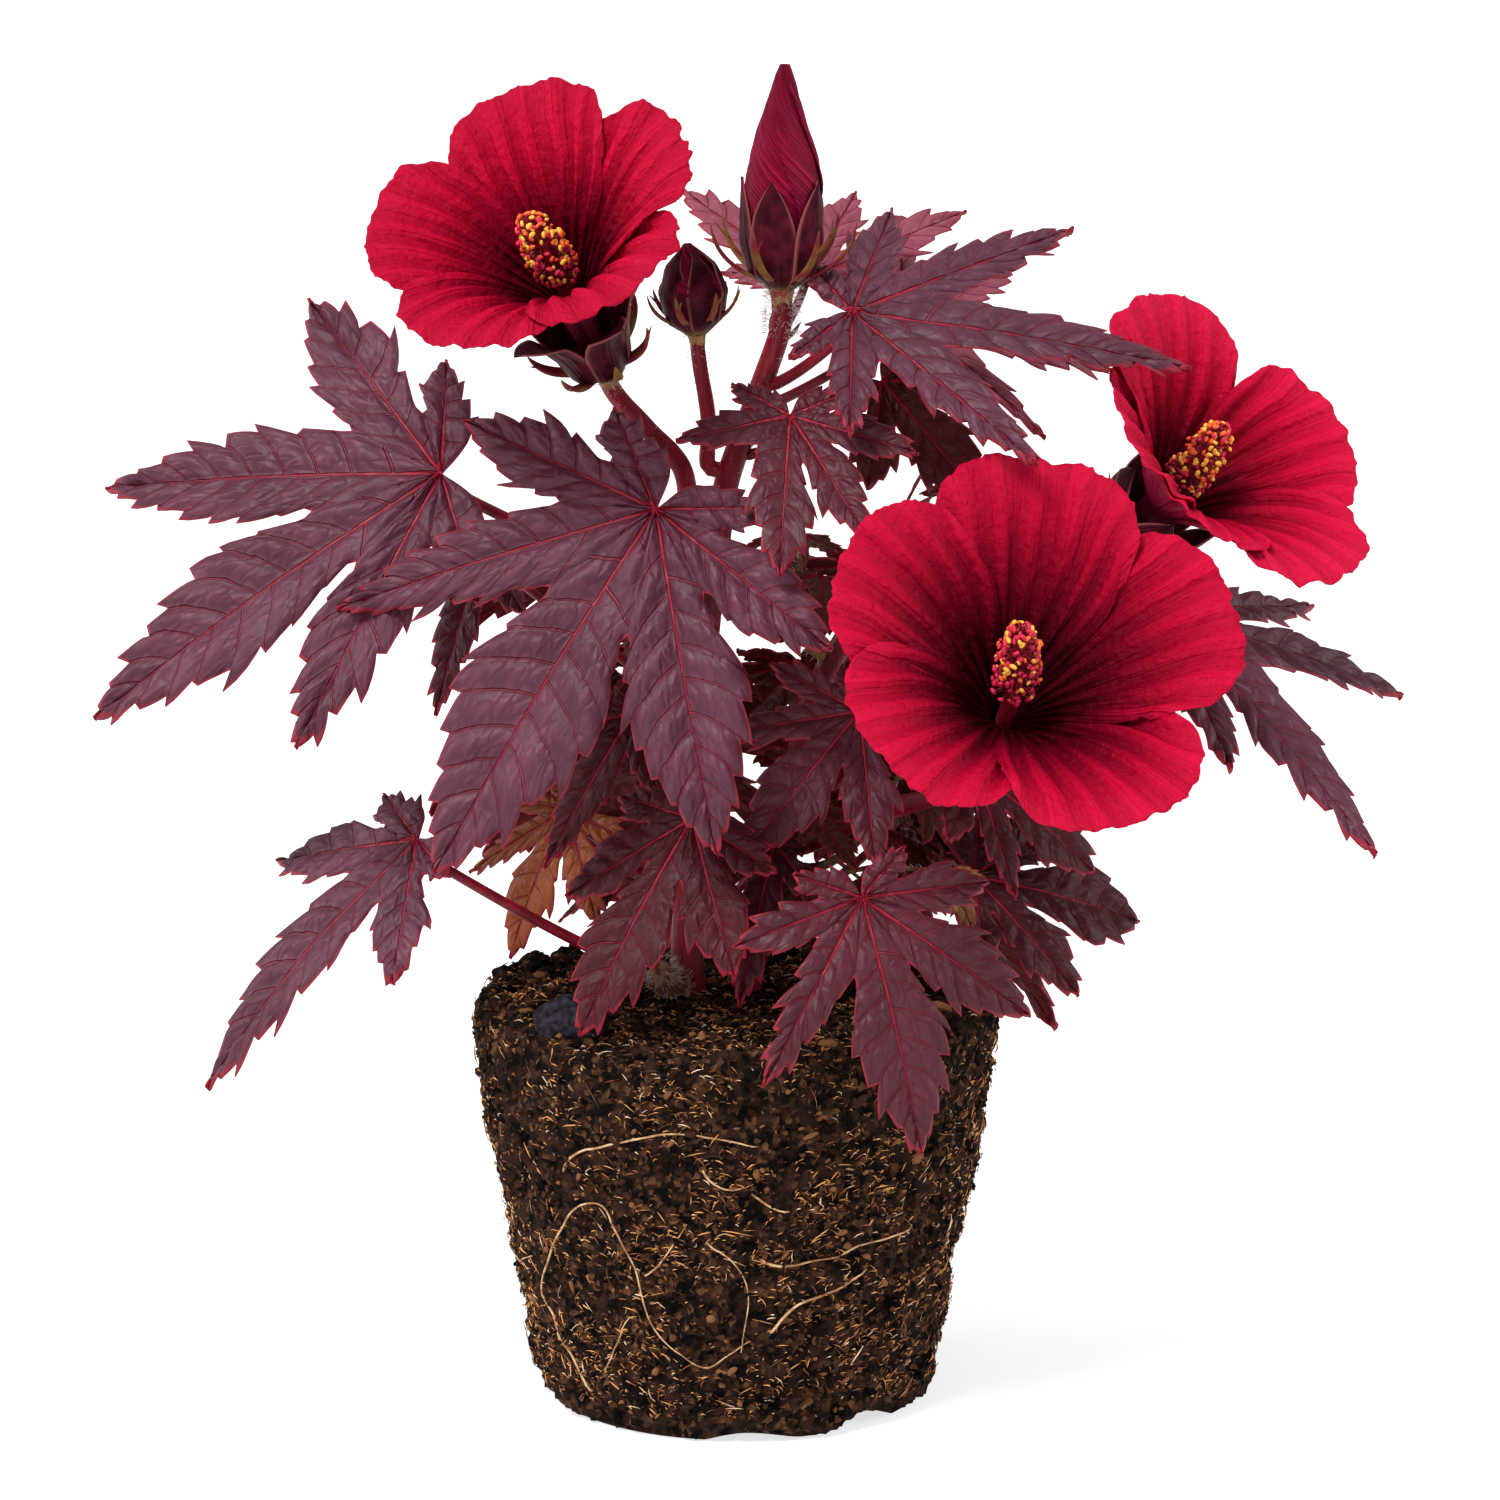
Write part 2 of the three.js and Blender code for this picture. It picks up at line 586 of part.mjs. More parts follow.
// The narrow bracts that curve out and up from under a calyx
function bracts(foot, axis, { count, length, turn }) {
  const across = acrossOf(axis, turn);
  return Array.from({ length: count }, (_, i) => {
    const out = across.clone().applyAxisAngle(axis, (2 * Math.PI * i) / count);
    const base = foot.clone().addScaledVector(axis, 2.2).addScaledVector(out, 1.4);
    const curve = new THREE.QuadraticBezierCurve3(
      base,
      base.clone().addScaledVector(out, length * 0.6).addScaledVector(axis, length * 0.1),
      base.clone().addScaledVector(out, length * 0.85).addScaledVector(axis, length * 0.5),
    );
    return rod(curve, (t) => 0.9 - 0.6 * t, 3, 2);
  });
}

// Five petals as one funnel: each reaches the rim in its middle and is cut back at its sides
function funnel({ throat, axis, turn, rim, petals, depth }) {
  const sides = 30;
  const rings = 3;
  const throatRadius = 4.5;
  const thickness = 1.2;
  const across = acrossOf(axis, turn);
  const over = axis.clone().cross(across);
  const petalShare = (side) => {
    const along = (side / sides) * 5;
    const own = Math.round(along) % 5;
    const offset = along - Math.round(along);
    const next = (own + Math.sign(offset) + 5) % 5;
    const blend = 2 * offset * offset;
    const scale = petals[own] * (1 - blend) + petals[next] * blend;
    return scale * (1 - 0.17 * Math.abs(2 * offset) ** 3);
  };
  const ringAt = (t, below) => Array.from({ length: sides }, (_, side) => {
    const angle = (2 * Math.PI * side) / sides;
    const reach = t * petalShare(side);
    const radius = throatRadius + (rim - throatRadius) * reach ** 1.08;
    const rise = depth * Math.sin((Math.min(reach, 1.06) * 0.94 * Math.PI) / 2) - below;
    return point(...throat).addScaledVector(axis, rise)
      .addScaledVector(across, Math.cos(angle) * radius)
      .addScaledVector(over, Math.sin(angle) * radius);
  });
  const outer = Array.from({ length: rings }, (_, i) => ringAt(i / rings, thickness));
  const inner = Array.from({ length: rings }, (_, i) => ringAt(i / rings, 0)).reverse();
  return skin([...outer, ringAt(1, 0), ...inner]);
}

function bloomSolid(bloom) {
  const { foot, axis, tube, column, turn } = bloom;
  const tubeBody = turned(foot, axis, [[0.5, 2.4], [tube * 0.6, 4.4], [tube + 1, 5.2]], 10, turn);
  const pillar = turned(foot, axis, [
    [tube - 1, 1.8],
    [tube + column * 0.35, 1.8],
    [tube + column * 0.45, 5.0],
    [tube + column * 0.85, 5.6],
    [tube + column, 2.2],
  ], 8, turn);
  return Manifold.union([
    tubeBody, pillar, funnel(bloom),
    calyx(foot, axis, { radius: 6.6, height: 23, spread: 7, turn }),
    ...bracts(foot, axis, { count: 7, length: 16, turn }),
  ]);
}

for (const [name, bloom] of Object.entries(blooms)) {
  addNode(name, bloomSolid(bloom), 0xa3122f, 0.6);
}

// A bud: furled petals that stand out of a tall calyx
function budSolid({ foot, axis, length, radius, calyx: height }) {
  const furled = turned(foot, axis, [
    [1, 2.6],
    [length * 0.2, radius * 0.88],
    [length * 0.42, radius * 0.95],
    [length * 0.6, radius * 0.86],
    [length * 0.82, radius * 0.42],
    [length, 0.5],
  ], 10);
  return Manifold.union([
    furled,
    calyx(foot, axis, { radius, height, spread: 1.2, turn: 0 }),
    ...bracts(foot, axis, { count: 7, length: length > 40 ? 26 : 15, turn: 34 }),
  ]);
}

addNode('bud_tall', budSolid(buds.bud_tall), 0x6d1030, 0.6);
addNode('bud_small', budSolid(buds.bud_small), 0x3a0f20, 0.6);

export default plant;
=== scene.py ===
"""A young hibiscus shrub in flower, standing on its bare root ball as it came out of its pot.

Pieces are worked in millimetres, with +Z up and the front facing -Y, and are set down in metres.
"""

import math

import bmesh
import bpy
import numpy as np
from mathutils import Matrix, Vector, noise
from mathutils.geometry import interpolate_bezier


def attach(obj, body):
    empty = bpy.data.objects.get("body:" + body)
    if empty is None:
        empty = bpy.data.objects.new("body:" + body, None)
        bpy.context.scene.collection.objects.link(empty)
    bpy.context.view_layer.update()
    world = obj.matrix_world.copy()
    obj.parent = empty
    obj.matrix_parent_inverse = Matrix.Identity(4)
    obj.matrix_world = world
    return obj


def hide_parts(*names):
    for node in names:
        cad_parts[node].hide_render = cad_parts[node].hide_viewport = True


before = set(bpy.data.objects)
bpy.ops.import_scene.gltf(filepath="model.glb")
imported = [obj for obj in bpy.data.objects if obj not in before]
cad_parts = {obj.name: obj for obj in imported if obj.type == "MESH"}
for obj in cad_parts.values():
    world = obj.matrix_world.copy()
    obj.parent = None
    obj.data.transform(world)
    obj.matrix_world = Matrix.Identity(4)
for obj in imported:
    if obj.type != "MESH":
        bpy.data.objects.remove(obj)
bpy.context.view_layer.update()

MM = 0.001

# Root ball
# Moist peat and roots that keep the pot's tapered shape and stand on a flat underside. The body
# is one closed mesh, turned from the pot's profile and broken up into crumbs by its relief.
BALL_HEIGHT = 110
FOOT_RADIUS = 53
TOP_RADIUS = 69.5
SIDE_FROM = 0.25
TOP_FROM = 0.7
BITE = 13
BALL_PROFILE = np.array([
    (0, 0),
    (FOOT_RADIUS - 4, 0),
    (FOOT_RADIUS - 0.5, 4),
    (FOOT_RADIUS + (TOP_RADIUS - FOOT_RADIUS) * 0.66, BALL_HEIGHT * 0.6),
    (TOP_RADIUS - 1, BALL_HEIGHT - 12),
    (TOP_RADIUS - 0.5, BALL_HEIGHT - 5),
    (TOP_RADIUS - 3.5, BALL_HEIGHT - 1.5),
    (TOP_RADIUS - 16, BALL_HEIGHT - 0.5),
    (0, BALL_HEIGHT - 0.5),
])
PROFILE_STEPS = np.hypot(*np.diff(BALL_PROFILE, axis=0).T)
PROFILE_SHARES = np.concatenate(([0], np.cumsum(PROFILE_STEPS))) / PROFILE_STEPS.sum()


def shader_node(tree, kind, feeds=None, **settings):
    """A shader node with its settings and what feeds its sockets, by socket name or number."""
    made = tree.nodes.new(kind)
    for setting, value in settings.items():
        setattr(made, setting, value)
    for socket, source in (feeds or {}).items():
        if isinstance(source, bpy.types.NodeSocket):
            tree.links.new(source, made.inputs[socket])
        else:
            made.inputs[socket].default_value = source
    return made


def maths(tree, operation, *values):
    """What a Math node gives for two or three values or sockets."""
    return shader_node(tree, "ShaderNodeMath", dict(enumerate(values)), operation=operation).outputs[0]


def faded(tree, value, low, high):
    """A mask that rises smoothly from 0 where a value is low to 1 where it is high."""
    feeds = {"Value": value, "From Min": low, "From Max": high}
    return shader_node(tree, "ShaderNodeMapRange", feeds, interpolation_type="SMOOTHSTEP").outputs[0]


def blended(tree, share, under, over):
    """One colour over another by a share."""
    feeds = {0: share, 6: under, 7: over}
    return shader_node(tree, "ShaderNodeMix", feeds, data_type="RGBA").outputs[2]


def colour(red, green, blue):
    """An sRGB colour in 0 to 255 as the linear one that shaders take."""
    shares = [channel / 255 for channel in (red, green, blue)]
    return (*[s / 12.92 if s <= 0.04045 else ((s + 0.055) / 1.055) ** 2.4 for s in shares], 1)


def new_material(name, roughness=0.5, shine=0.5, **fixed):
    """A material, its tree, its Principled shader with the fixed sockets set, and Object coordinates."""
    material = bpy.data.materials.new(name)
    material.use_nodes = True
    tree = material.node_tree
    shader = tree.nodes["Principled BSDF"]
    shader.inputs["Roughness"].default_value = roughness
    shader.inputs["Specular IOR Level"].default_value = shine
    for socket, value in fixed.items():
        shader.inputs[socket.replace("_", " ").title()].default_value = value
    place = tree.nodes.new("ShaderNodeTexCoord").outputs["Object"]
    return material, tree, shader, place


def noise_of(tree, place, scale, detail=3, stretch=(1, 1, 1)):
    """Noise with so many waves to a metre, stretched along an axis where its number is small."""
    turned = shader_node(tree, "ShaderNodeMapping", {"Vector": place, "Scale": stretch})
    feeds = {"Vector": turned.outputs[0], "Scale": scale, "Detail": detail}
    return shader_node(tree, "ShaderNodeTexNoise", feeds).outputs["Fac"]


def bumped(tree, shader, height, distance):
    """Feeds a height, in shares of a distance in metres, to a shader's normal."""
    feeds = {"Height": height, "Distance": distance}
    tree.links.new(shader_node(tree, "ShaderNodeBump", feeds).outputs[0], shader.inputs["Normal"])


def new_group(name, inputs, outputs):
    """A node group with its named sockets: the group, what it is given and what it puts out."""
    group = bpy.data.node_groups.new(name, "ShaderNodeTree")
    for in_out, sockets in (("INPUT", inputs), ("OUTPUT", outputs)):
        for socket, kind in sockets.items():
            group.interface.new_socket(socket, in_out=in_out, socket_type="NodeSocket" + kind)
    given = group.nodes.new("NodeGroupInput").outputs
    return group, given, group.nodes.new("NodeGroupOutput").inputs


# The soft mottling that most of the plant's skins share
mottling, given, put_out = new_group("mottling", {
    "Place": "Vector", "Stretch": "Vector", "Waves": "Float", "Detail": "Float",
    "Low": "Float", "High": "Float", "Dark": "Color", "Light": "Color",
}, {"Color": "Color", "Height": "Float"})
patches = noise_of(mottling, given["Place"], given["Waves"], given["Detail"], given["Stretch"])
light_share = faded(mottling, patches, given["Low"], given["High"])
mottling.links.new(blended(mottling, light_share, given["Dark"], given["Light"]), put_out["Color"])
mottling.links.new(patches, put_out["Height"])


def mottled(tree, place, waves, dark, light, low=0.35, high=0.7, detail=3, stretch=(1, 1, 1)):
    """What the mottling group puts out: patches of two sRGB colours, and their height."""
    feeds = {"Place": place, "Waves": waves, "Dark": colour(*dark), "Light": colour(*light),
             "Low": low, "High": high, "Detail": detail, "Stretch": stretch}
    return shader_node(tree, "ShaderNodeGroup", feeds, node_tree=mottling).outputs


def mottled_skin(name, waves, dark, light, low=0.35, high=0.7, **fixed):
    """A material whose only pattern is its mottling."""
    material, tree, shader, place = new_material(name, **fixed)
    patched = mottled(tree, place, waves, dark, light, low, high)
    tree.links.new(patched["Color"], shader.inputs["Base Color"])
    return material


def finish_piece(bm, name, material, stands_for=(), closed=True):
    """Sets a piece that was worked in millimetres down in metres, as part of the plant."""
    if closed:
        bmesh.ops.remove_doubles(bm, verts=bm.verts, dist=0.001)
        bmesh.ops.recalc_face_normals(bm, faces=bm.faces)
    bmesh.ops.scale(bm, vec=(MM, MM, MM), verts=bm.verts)
    mesh = bpy.data.meshes.new(name)
    bm.to_mesh(mesh)
    bm.free()
    return add_piece(mesh, name, material, stands_for)


def add_piece(mesh, name, material, stands_for=()):
    """A mesh in metres as a piece of the plant."""
    mesh.materials.append(material)
    mesh.shade_smooth()
    piece = bpy.data.objects.new(name, mesh)
    bpy.context.collection.objects.link(piece)
    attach(piece, "root")
    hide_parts(*stands_for)
    return piece


def crumble(place):
    """How far peat stands out at a place, in mm: clumps, crumbs and the pits between them."""
    clumps = noise.noise(place * 0.07)
    crumbs = abs(noise.noise(place * 0.23 + Vector((9, 0, 0))))
    grains = noise.noise(place * 0.6 + Vector((0, 7, 0)))
    pits = max(0, noise.noise(place * 0.13 + Vector((3, 5, 0))) - 0.1)
    return 1.4 * clumps - 2.6 * crumbs + 1.1 * grains - 7 * pits + 0.8


def ball_place(turn, share):
    """A place on the root ball at a turn round it and a share of its profile, with its relief."""
    radius, height = (np.interp(share, PROFILE_SHARES, axis) for axis in BALL_PROFILE.T)
    leg = min(np.searchsorted(PROFILE_SHARES, max(share, 1e-6)), len(PROFILE_STEPS)) - 1
    rise, run = BALL_PROFILE[leg + 1] - BALL_PROFILE[leg]
    out = Vector((run * math.cos(turn), run * math.sin(turn), -rise)).normalized()
    place = Vector((radius * math.cos(turn), radius * math.sin(turn), height))
    worn = crumble(place)
    if share > TOP_FROM:
        worn += 4.6 * noise.noise(place * 0.1 + Vector((0, 0, 3))) - 1
    if height < 1:
        worn = 0
    bite = max(0, noise.noise(Vector((place.x, place.y, 40)) * 0.035) - 0.05) * BITE
    nearness = max(0, 1 - height / 14) * max(0, (radius - 34) / 20)
    return place + out * worn + Vector((0, 0, bite * nearness)), out


BALL_SIDES = 340
BALL_ROWS = 170
peat_body = bmesh.new()
wrap = bmesh.ops.create_grid(peat_body, x_segments=BALL_SIDES, y_segments=BALL_ROWS, size=1)
for corner in wrap["verts"]:
    corner.co = ball_place(math.pi * corner.co.x, (corner.co.y + 1) / 2)[0]

peat, tree, shader, place = new_material("peat", roughness=0.95, shine=0.1)
# Near-black where the mottling is low and its bump sinks: dark damp peat, and partly painted shade in the
# pits.
damp_and_pit_shade = mottled(tree, place, 260, (5, 2, 2), (48, 29, 20), 0.38, 0.66, 5)
crumbs = shader_node(tree, "ShaderNodeTexVoronoi", {"Vector": place, "Scale": 620.0}).outputs
worn = blended(tree, faded(tree, crumbs["Color"], 0.6, 0.98), damp_and_pit_shade["Color"], colour(96, 62, 40))
tree.links.new(worn, shader.inputs["Base Color"])
bumped(tree, shader, maths(tree, "ADD", damp_and_pit_shade["Height"], crumbs["Distance"]), 0.0012)
finish_piece(peat_body, "root_ball_peat", peat, ["root_ball"])

# Peat crumbs
# Loose flakes and crumbs of peat and rotted bark that cling to the side and lie thickest on the
# top. Each is a small uneven lump of a few faces, and each colour is one joined piece.


def shape_of(make):
    """The corners and faces of a shape that a bmesh operator makes."""
    bm = bmesh.new()
    make(bm)
    bm.verts.index_update()
    corners = np.array([vert.co for vert in bm.verts])
    faces = [[vert.index for vert in face.verts] for face in bm.faces]
    bm.free()
    return corners, faces


def scatter(name, shape, frames, material):
    """Copies of a small shape, each in its own frame in mm, joined in one piece."""
    corners, faces = shape
    frames = np.array(frames)
    placed = np.einsum("nij,vj->nvi", frames[:, :3, :3], corners) + frames[:, None, :3, 3]
    mesh = bpy.data.meshes.new(name)
    copies = [[i + n * len(corners) for i in face] for n in range(len(frames)) for face in faces]
    mesh.from_pydata(placed.reshape(-1, 3) * MM, [], copies)
    return add_piece(mesh, name, material)


def frame_along(place, along, upward, sizes):
    """The frame at a place whose X runs along, whose Z looks upward, and that is stretched by sizes."""
    along = along.normalized()
    side = upward.cross(along).normalized()
    columns = [along * sizes[0], side * sizes[1], along.cross(side) * sizes[2]]
    return [[columns[c][r] for c in range(3)] + [place[r]] for r in range(3)]


def ball_share(height):
    """The share of the profile at a height of the side."""
    return np.interp(height, BALL_PROFILE[1:6, 1], PROFILE_SHARES[1:6])


def any_share():
    """A share of the profile on the side, or in three calls of ten on the top."""
    if chance.random() < 0.3:
        return 1 - 0.29 * math.sqrt(chance.random())
    return chance.uniform(SIDE_FROM, TOP_FROM)


def around(out, turn):
    """The direction that lies square to another and is turned round it from level, in radians."""
    level = Vector((-out.y, out.x, 0)) if abs(out.z) < 0.95 else Vector((1, 0, 0))
    return Matrix.Rotation(turn, 3, out) @ level.normalized()


ANY_TURN = 6.3
CRUMB_LEAST = 0.26
CRUMB_MOST = 1.4

# Each kind's colour, and how many of it there are
CRUMB_COLOURS = {
    "black": ((12, 7, 5), 2800),
    "umber": ((54, 33, 22), 3000),
    "bark": ((120, 80, 52), 1700),
}


def rough_lump(bm):
    """A small lump of 20 faces with uneven corners."""
    bmesh.ops.create_icosphere(bm, subdivisions=1, radius=1)
    for vert in bm.verts:
        vert.co *= 1 + 0.45 * noise.noise(vert.co * 1.7)


chance = np.random.default_rng(3)
lump = shape_of(rough_lump)
for name, (tint, count) in CRUMB_COLOURS.items():
    crumb = new_material("crumb_" + name, base_color=colour(*tint), roughness=0.95, shine=0.1)[0]
    frames = []
    for _ in range(count):
        share = any_share()
        spot, out = ball_place(chance.uniform(-math.pi, math.pi), share)
        size = min(CRUMB_LEAST + chance.exponential(0.22), CRUMB_MOST) * (1.3 if share > TOP_FROM else 1)
        sizes = size * chance.uniform((1, 0.6, 0.45), (2.2, 1.2, 1))
        lean = (out + around(out, chance.uniform(0, ANY_TURN)) * 0.5).normalized()
        frames.append(frame_along(spot + out * 0.1, around(out, chance.normal(0, 0.8)), lean, sizes))
    scatter("root_ball_crumbs_" + name, lump, frames, crumb)

# Fibres
# Short tan, golden and rust-brown fibres matted into the peat, at every angle but mostly along
# the side. Each is a thin bent splinter, and each colour is one joined piece.
FIBRE_LEAST = 0.8
FIBRE_MOST = 7

# Each kind's colour, and how many of it there are
FIBRE_COLOURS = {
    "golden": ((222, 152, 80), 4200),
    "pale": ((228, 198, 164), 1100),
    "rust": ((150, 84, 40), 3600),
    "brown": ((84, 52, 34), 2600),
}


def bent_splinter(bm):
    """A three-sided splinter of length 1 along X that is thick in its middle and bows along Y and Z."""
    cone = bmesh.ops.create_cone(bm, cap_ends=True, segments=3, radius1=0.5, radius2=0.5, depth=1)
    bmesh.ops.rotate(bm, verts=cone["verts"], matrix=Matrix.Rotation(math.pi / 2, 3, "Y"))
    long_edges = [edge for edge in bm.edges if edge.calc_length() > 0.95]
    bmesh.ops.subdivide_edges(bm, edges=long_edges, cuts=2)
    for vert in bm.verts:
        ends = (2 * vert.co.x) ** 2
        vert.co.y = vert.co.y * (1 - 0.75 * ends) + 1.5 * (1 - ends)
        vert.co.z = vert.co.z * (1 - 0.75 * ends) + 0.9 * (1 - ends)


splinter = shape_of(bent_splinter)
for name, (tint, count) in FIBRE_COLOURS.items():
    fibre, tree, shader, place = new_material("fibre_" + name, base_color=colour(*tint), roughness=0.8)
    bumped(tree, shader, noise_of(tree, place, 2500), 0.0002)
    frames = []
    while len(frames) < count:
        spot, out = ball_place(chance.uniform(-math.pi, math.pi), any_share())
        if noise.noise(spot * 0.06 + Vector((0, 0, 20))) < chance.normal(0, 0.3):
            continue
        slant = chance.normal(0, 0.8) if abs(out.z) < 0.7 else chance.uniform(0, ANY_TURN)
        long = min(FIBRE_LEAST + chance.exponential(1.2), FIBRE_MOST)
        thick = chance.uniform(0.14, 0.34)
        sizes = (long, thick, thick * chance.uniform(0.8, 2.2))
        frames.append(frame_along(spot + out * 0.2, around(out, slant), out, sizes))
    scatter("root_ball_fibres_" + name, splinter, frames, fibre)

# Long roots
# Pale feeding roots that wander over the side where the pot held them, and dive into the peat at
# their ends. Each is a thin closed tube along (turn from the front in degrees, height) places.
ROOT_PLACES = (
    ((-43, 9), (-51, 18), (-57, 26), (-61, 35), (-54, 45), (-46, 56), (-40, 64), (-34, 66), (-28, 57),
     (-25, 49), (-24, 44), (-21, 31), (-15, 27), (-8, 22), (-3, 25), (5, 30)),
    ((-24, 46), (-19, 50), (-15, 57), (-11, 63)),
    ((-8, 59), (-1, 54), (3, 46), (3, 38), (1, 24)),
    ((-46, 71), (-38, 79), (-29, 83), (-14, 88), (-4, 87), (6, 84)),
    ((8, 31), (12, 37), (17, 41), (23, 42), (30, 45), (37, 48)),
    ((5, 53), (12, 51), (24, 51), (32, 55), (39, 55), (49, 58)),
    ((-41, 15), (-34, 24), (-28, 35)),
    ((-30, 43), (-22, 39)),
    ((-8, 79), (-3, 73), (4, 74)),
    ((3, 71), (8, 68), (15, 67)),
)
BACK_ROOTS = 16


class Line:
    """A smooth line whose places are found by their share of its length."""

    def __init__(self, points):
        self.points = np.array(points)
        steps = np.linalg.norm(np.diff(self.points, axis=0), axis=1)
        self.length = steps.sum()
        self.shares = np.concatenate(([0], np.cumsum(steps))) / self.length

    def at(self, share):
        """The place at a share of the length."""
        return Vector([np.interp(share, self.shares, axis) for axis in self.points.T])

    def heading(self, share):
        """The way that the line runs at a share of its length."""
        return (self.at(min(share + 0.01, 1)) - self.at(max(share - 0.01, 0))).normalized()


def smooth_line(places):
    """The smooth line through a few places, leaving and reaching each one by the gaps beside it."""
    places = [Vector(place) for place in places]
    outer = [2 * places[0] - places[1], *places, 2 * places[-1] - places[-2]]
    points = [places[0]]
    for before, start, end, after in zip(outer, outer[1:], outer[2:], outer[3:]):
        back, span, front = (gap.length ** 0.5 for gap in (start - before, end - start, after - end))
        middle = (end - start) / span
        leaving = ((start - before) / back - (end - before) / (back + span) + middle) * span / 3
        reaching = (middle - (after - start) / (span + front) + (after - end) / front) * span / 3
        points += interpolate_bezier(start, start + leaving, end - reaching, end, 30)[1:]
    return Line(points)


def tube(bm, line, radius_at, sides, steps, relief=None, across=None):
    """A closed tube along a line, from a grid that is wrapped round it and may start turned one way."""
    grid = bmesh.ops.create_grid(bm, x_segments=sides, y_segments=steps, size=1)["verts"]
    across = across or line.heading(0).orthogonal()
    for step in range(steps + 1):
        share = step / steps
        across = across - line.heading(share) * across.dot(line.heading(share))
        across.normalize()
        over = line.heading(share).cross(across)
        centre = line.at(share)
        for side in range(sides + 1):
            turn = 2 * math.pi * (side % sides) / sides
            radius = radius_at(share) + (relief(share, turn) if relief else 0)
            corner = grid[step * (sides + 1) + side]
            corner.co = centre + (across * math.cos(turn) + over * math.sin(turn)) * radius
    bmesh.ops.remove_doubles(bm, verts=grid, dist=0.0005)
    open_edges = [edge for edge in bm.edges if edge.is_boundary]
    bmesh.ops.holes_fill(bm, edges=open_edges, sides=sides)


roots = [[(math.radians(turn - 90), height) for turn, height in places] for places in ROOT_PLACES]
for _ in range(BACK_ROOTS):
    turn, height = chance.uniform(0, math.pi), chance.uniform(12, 92)
    slope = chance.uniform(-1, 1)
    path = []
    for _ in range(chance.integers(5, 11)):
        path.append((turn, min(max(height, 8), 98)))
        slope += chance.uniform(-1.1, 1.1)
        turn += 0.15 * math.cos(slope)
        height += 9 * math.sin(slope)
    roots.append(path)
root_bm = bmesh.new()
for path in roots:
    thick = chance.uniform(0.22, 0.36)
    course = smooth_line([(turn * TOP_RADIUS, height, 0) for turn, height in path])
    stops = [course.at(share) for share in np.linspace(0, 1, int(course.length / 1.5))]
    spots = [ball_place(stop.x / TOP_RADIUS, ball_share(stop.y)) for stop in stops]
    draped = np.array([spot + out * 0.7 for spot, out in spots])
    draped += chance.normal(0, 0.3, draped.shape)
    kernel = np.ones(5) / 5
    draped = np.array([np.convolve(axis, kernel, "valid") for axis in draped.T]).T
    ends = [spots[end][0] - spots[end][1] * 1.6 for end in (0, -1)]
    line = smooth_line([ends[0], *draped[::2], ends[1]])
    tube(root_bm, line, lambda share: thick * (1.1 - 0.5 * share), 5, max(8, int(line.length / 1.6)))
root_skin = mottled_skin("root_skin", 300, (150, 104, 64), (206, 168, 122), 0.4, 0.6, roughness=0.7)
finish_piece(root_bm, "root_ball_long_roots", root_skin)

# Clod
# A smooth dark lump of damp earth that lies on the peat near the front rim: a ball whose corners
# are dented a little.
CLOD_AT = (-42, -40, BALL_HEIGHT + 1)
CLOD_HALVES = (10, 7.6, 7.2)
clod = bmesh.new()
bmesh.ops.create_icosphere(clod, subdivisions=5, radius=1)
for corner in clod.verts:
    dent = 1 + 0.14 * noise.noise(corner.co * 1.6) - 0.08 * abs(noise.noise(corner.co * 4))
    corner.co = Vector(CLOD_AT) + Vector([c * half * dent for c, half in zip(corner.co, CLOD_HALVES)])
clod_skin, tree, shader, place = new_material("clod_skin", roughness=0.9, shine=0.15)
patched = mottled(tree, place, 500, (16, 13, 17), (50, 45, 56))
tree.links.new(patched["Color"], shader.inputs["Base Color"])
bumped(tree, shader, noise_of(tree, place, 900, 6), 0.0006)
finish_piece(clod, "root_ball_clod", clod_skin)

# Stems and boughs
# Soft maroon wood: two stems rise out of the peat, and boughs fork from them up to each bloom
# and bud. Each limb tapers, is a little uneven, and starts inside what carries it.
CLEAR = 0.3
SOIL = BALL_HEIGHT + CLEAR
BUTT = 4

# Where each bloom's throat is and faces, how its petals are turned, its rim's radius, each petal's
# share of it, how deep the bloom is, and how long its tube and column are
blooms = {
    "bloom_left": dict(throat=(-42, -22, 297), faces=(-25, 48), turn=22, rim=44,
                       petals=(1, 1, 1.05, 1.06, 1), depth=35, tube=29, column=27),
    "bloom_front": dict(throat=(69, -58, 196), faces=(13, 40), turn=2, rim=54,
                        petals=(1.03, 1, 1, 1, 1), depth=36, tube=26, column=33),
    "bloom_right": dict(throat=(111.6, 12, 237.4), faces=(48, 40), turn=-13, rim=44.5,
                        petals=(1.03, 0.96, 0.88, 1.06, 0.96), depth=34, tube=24, column=29),
}

# Where each bud starts and points, its length and its radius
buds = {
    "bud_tall": dict(foot=(12, -2, 296), faces=(20, 88), length=59, radius=9.4),
    "bud_small": dict(foot=(-10, -4, 285), faces=(-80, 84), length=24, radius=8),
}


def direction(azimuth, elevation):
    """The direction at an azimuth from -Y toward +X and an elevation above level, in degrees."""
    around, above = math.radians(azimuth), math.radians(elevation)
    level = math.cos(above)
    return Vector((math.sin(around) * level, -math.cos(around) * level, math.sin(above)))


for bloom in blooms.values():
    bloom["axis"] = direction(*bloom["faces"])
    bloom["foot"] = Vector(bloom["throat"]) - bloom["axis"] * bloom["tube"]
for bud in buds.values():
    bud["axis"] = direction(*bud["faces"])
    bud["foot"] = Vector(bud["foot"])

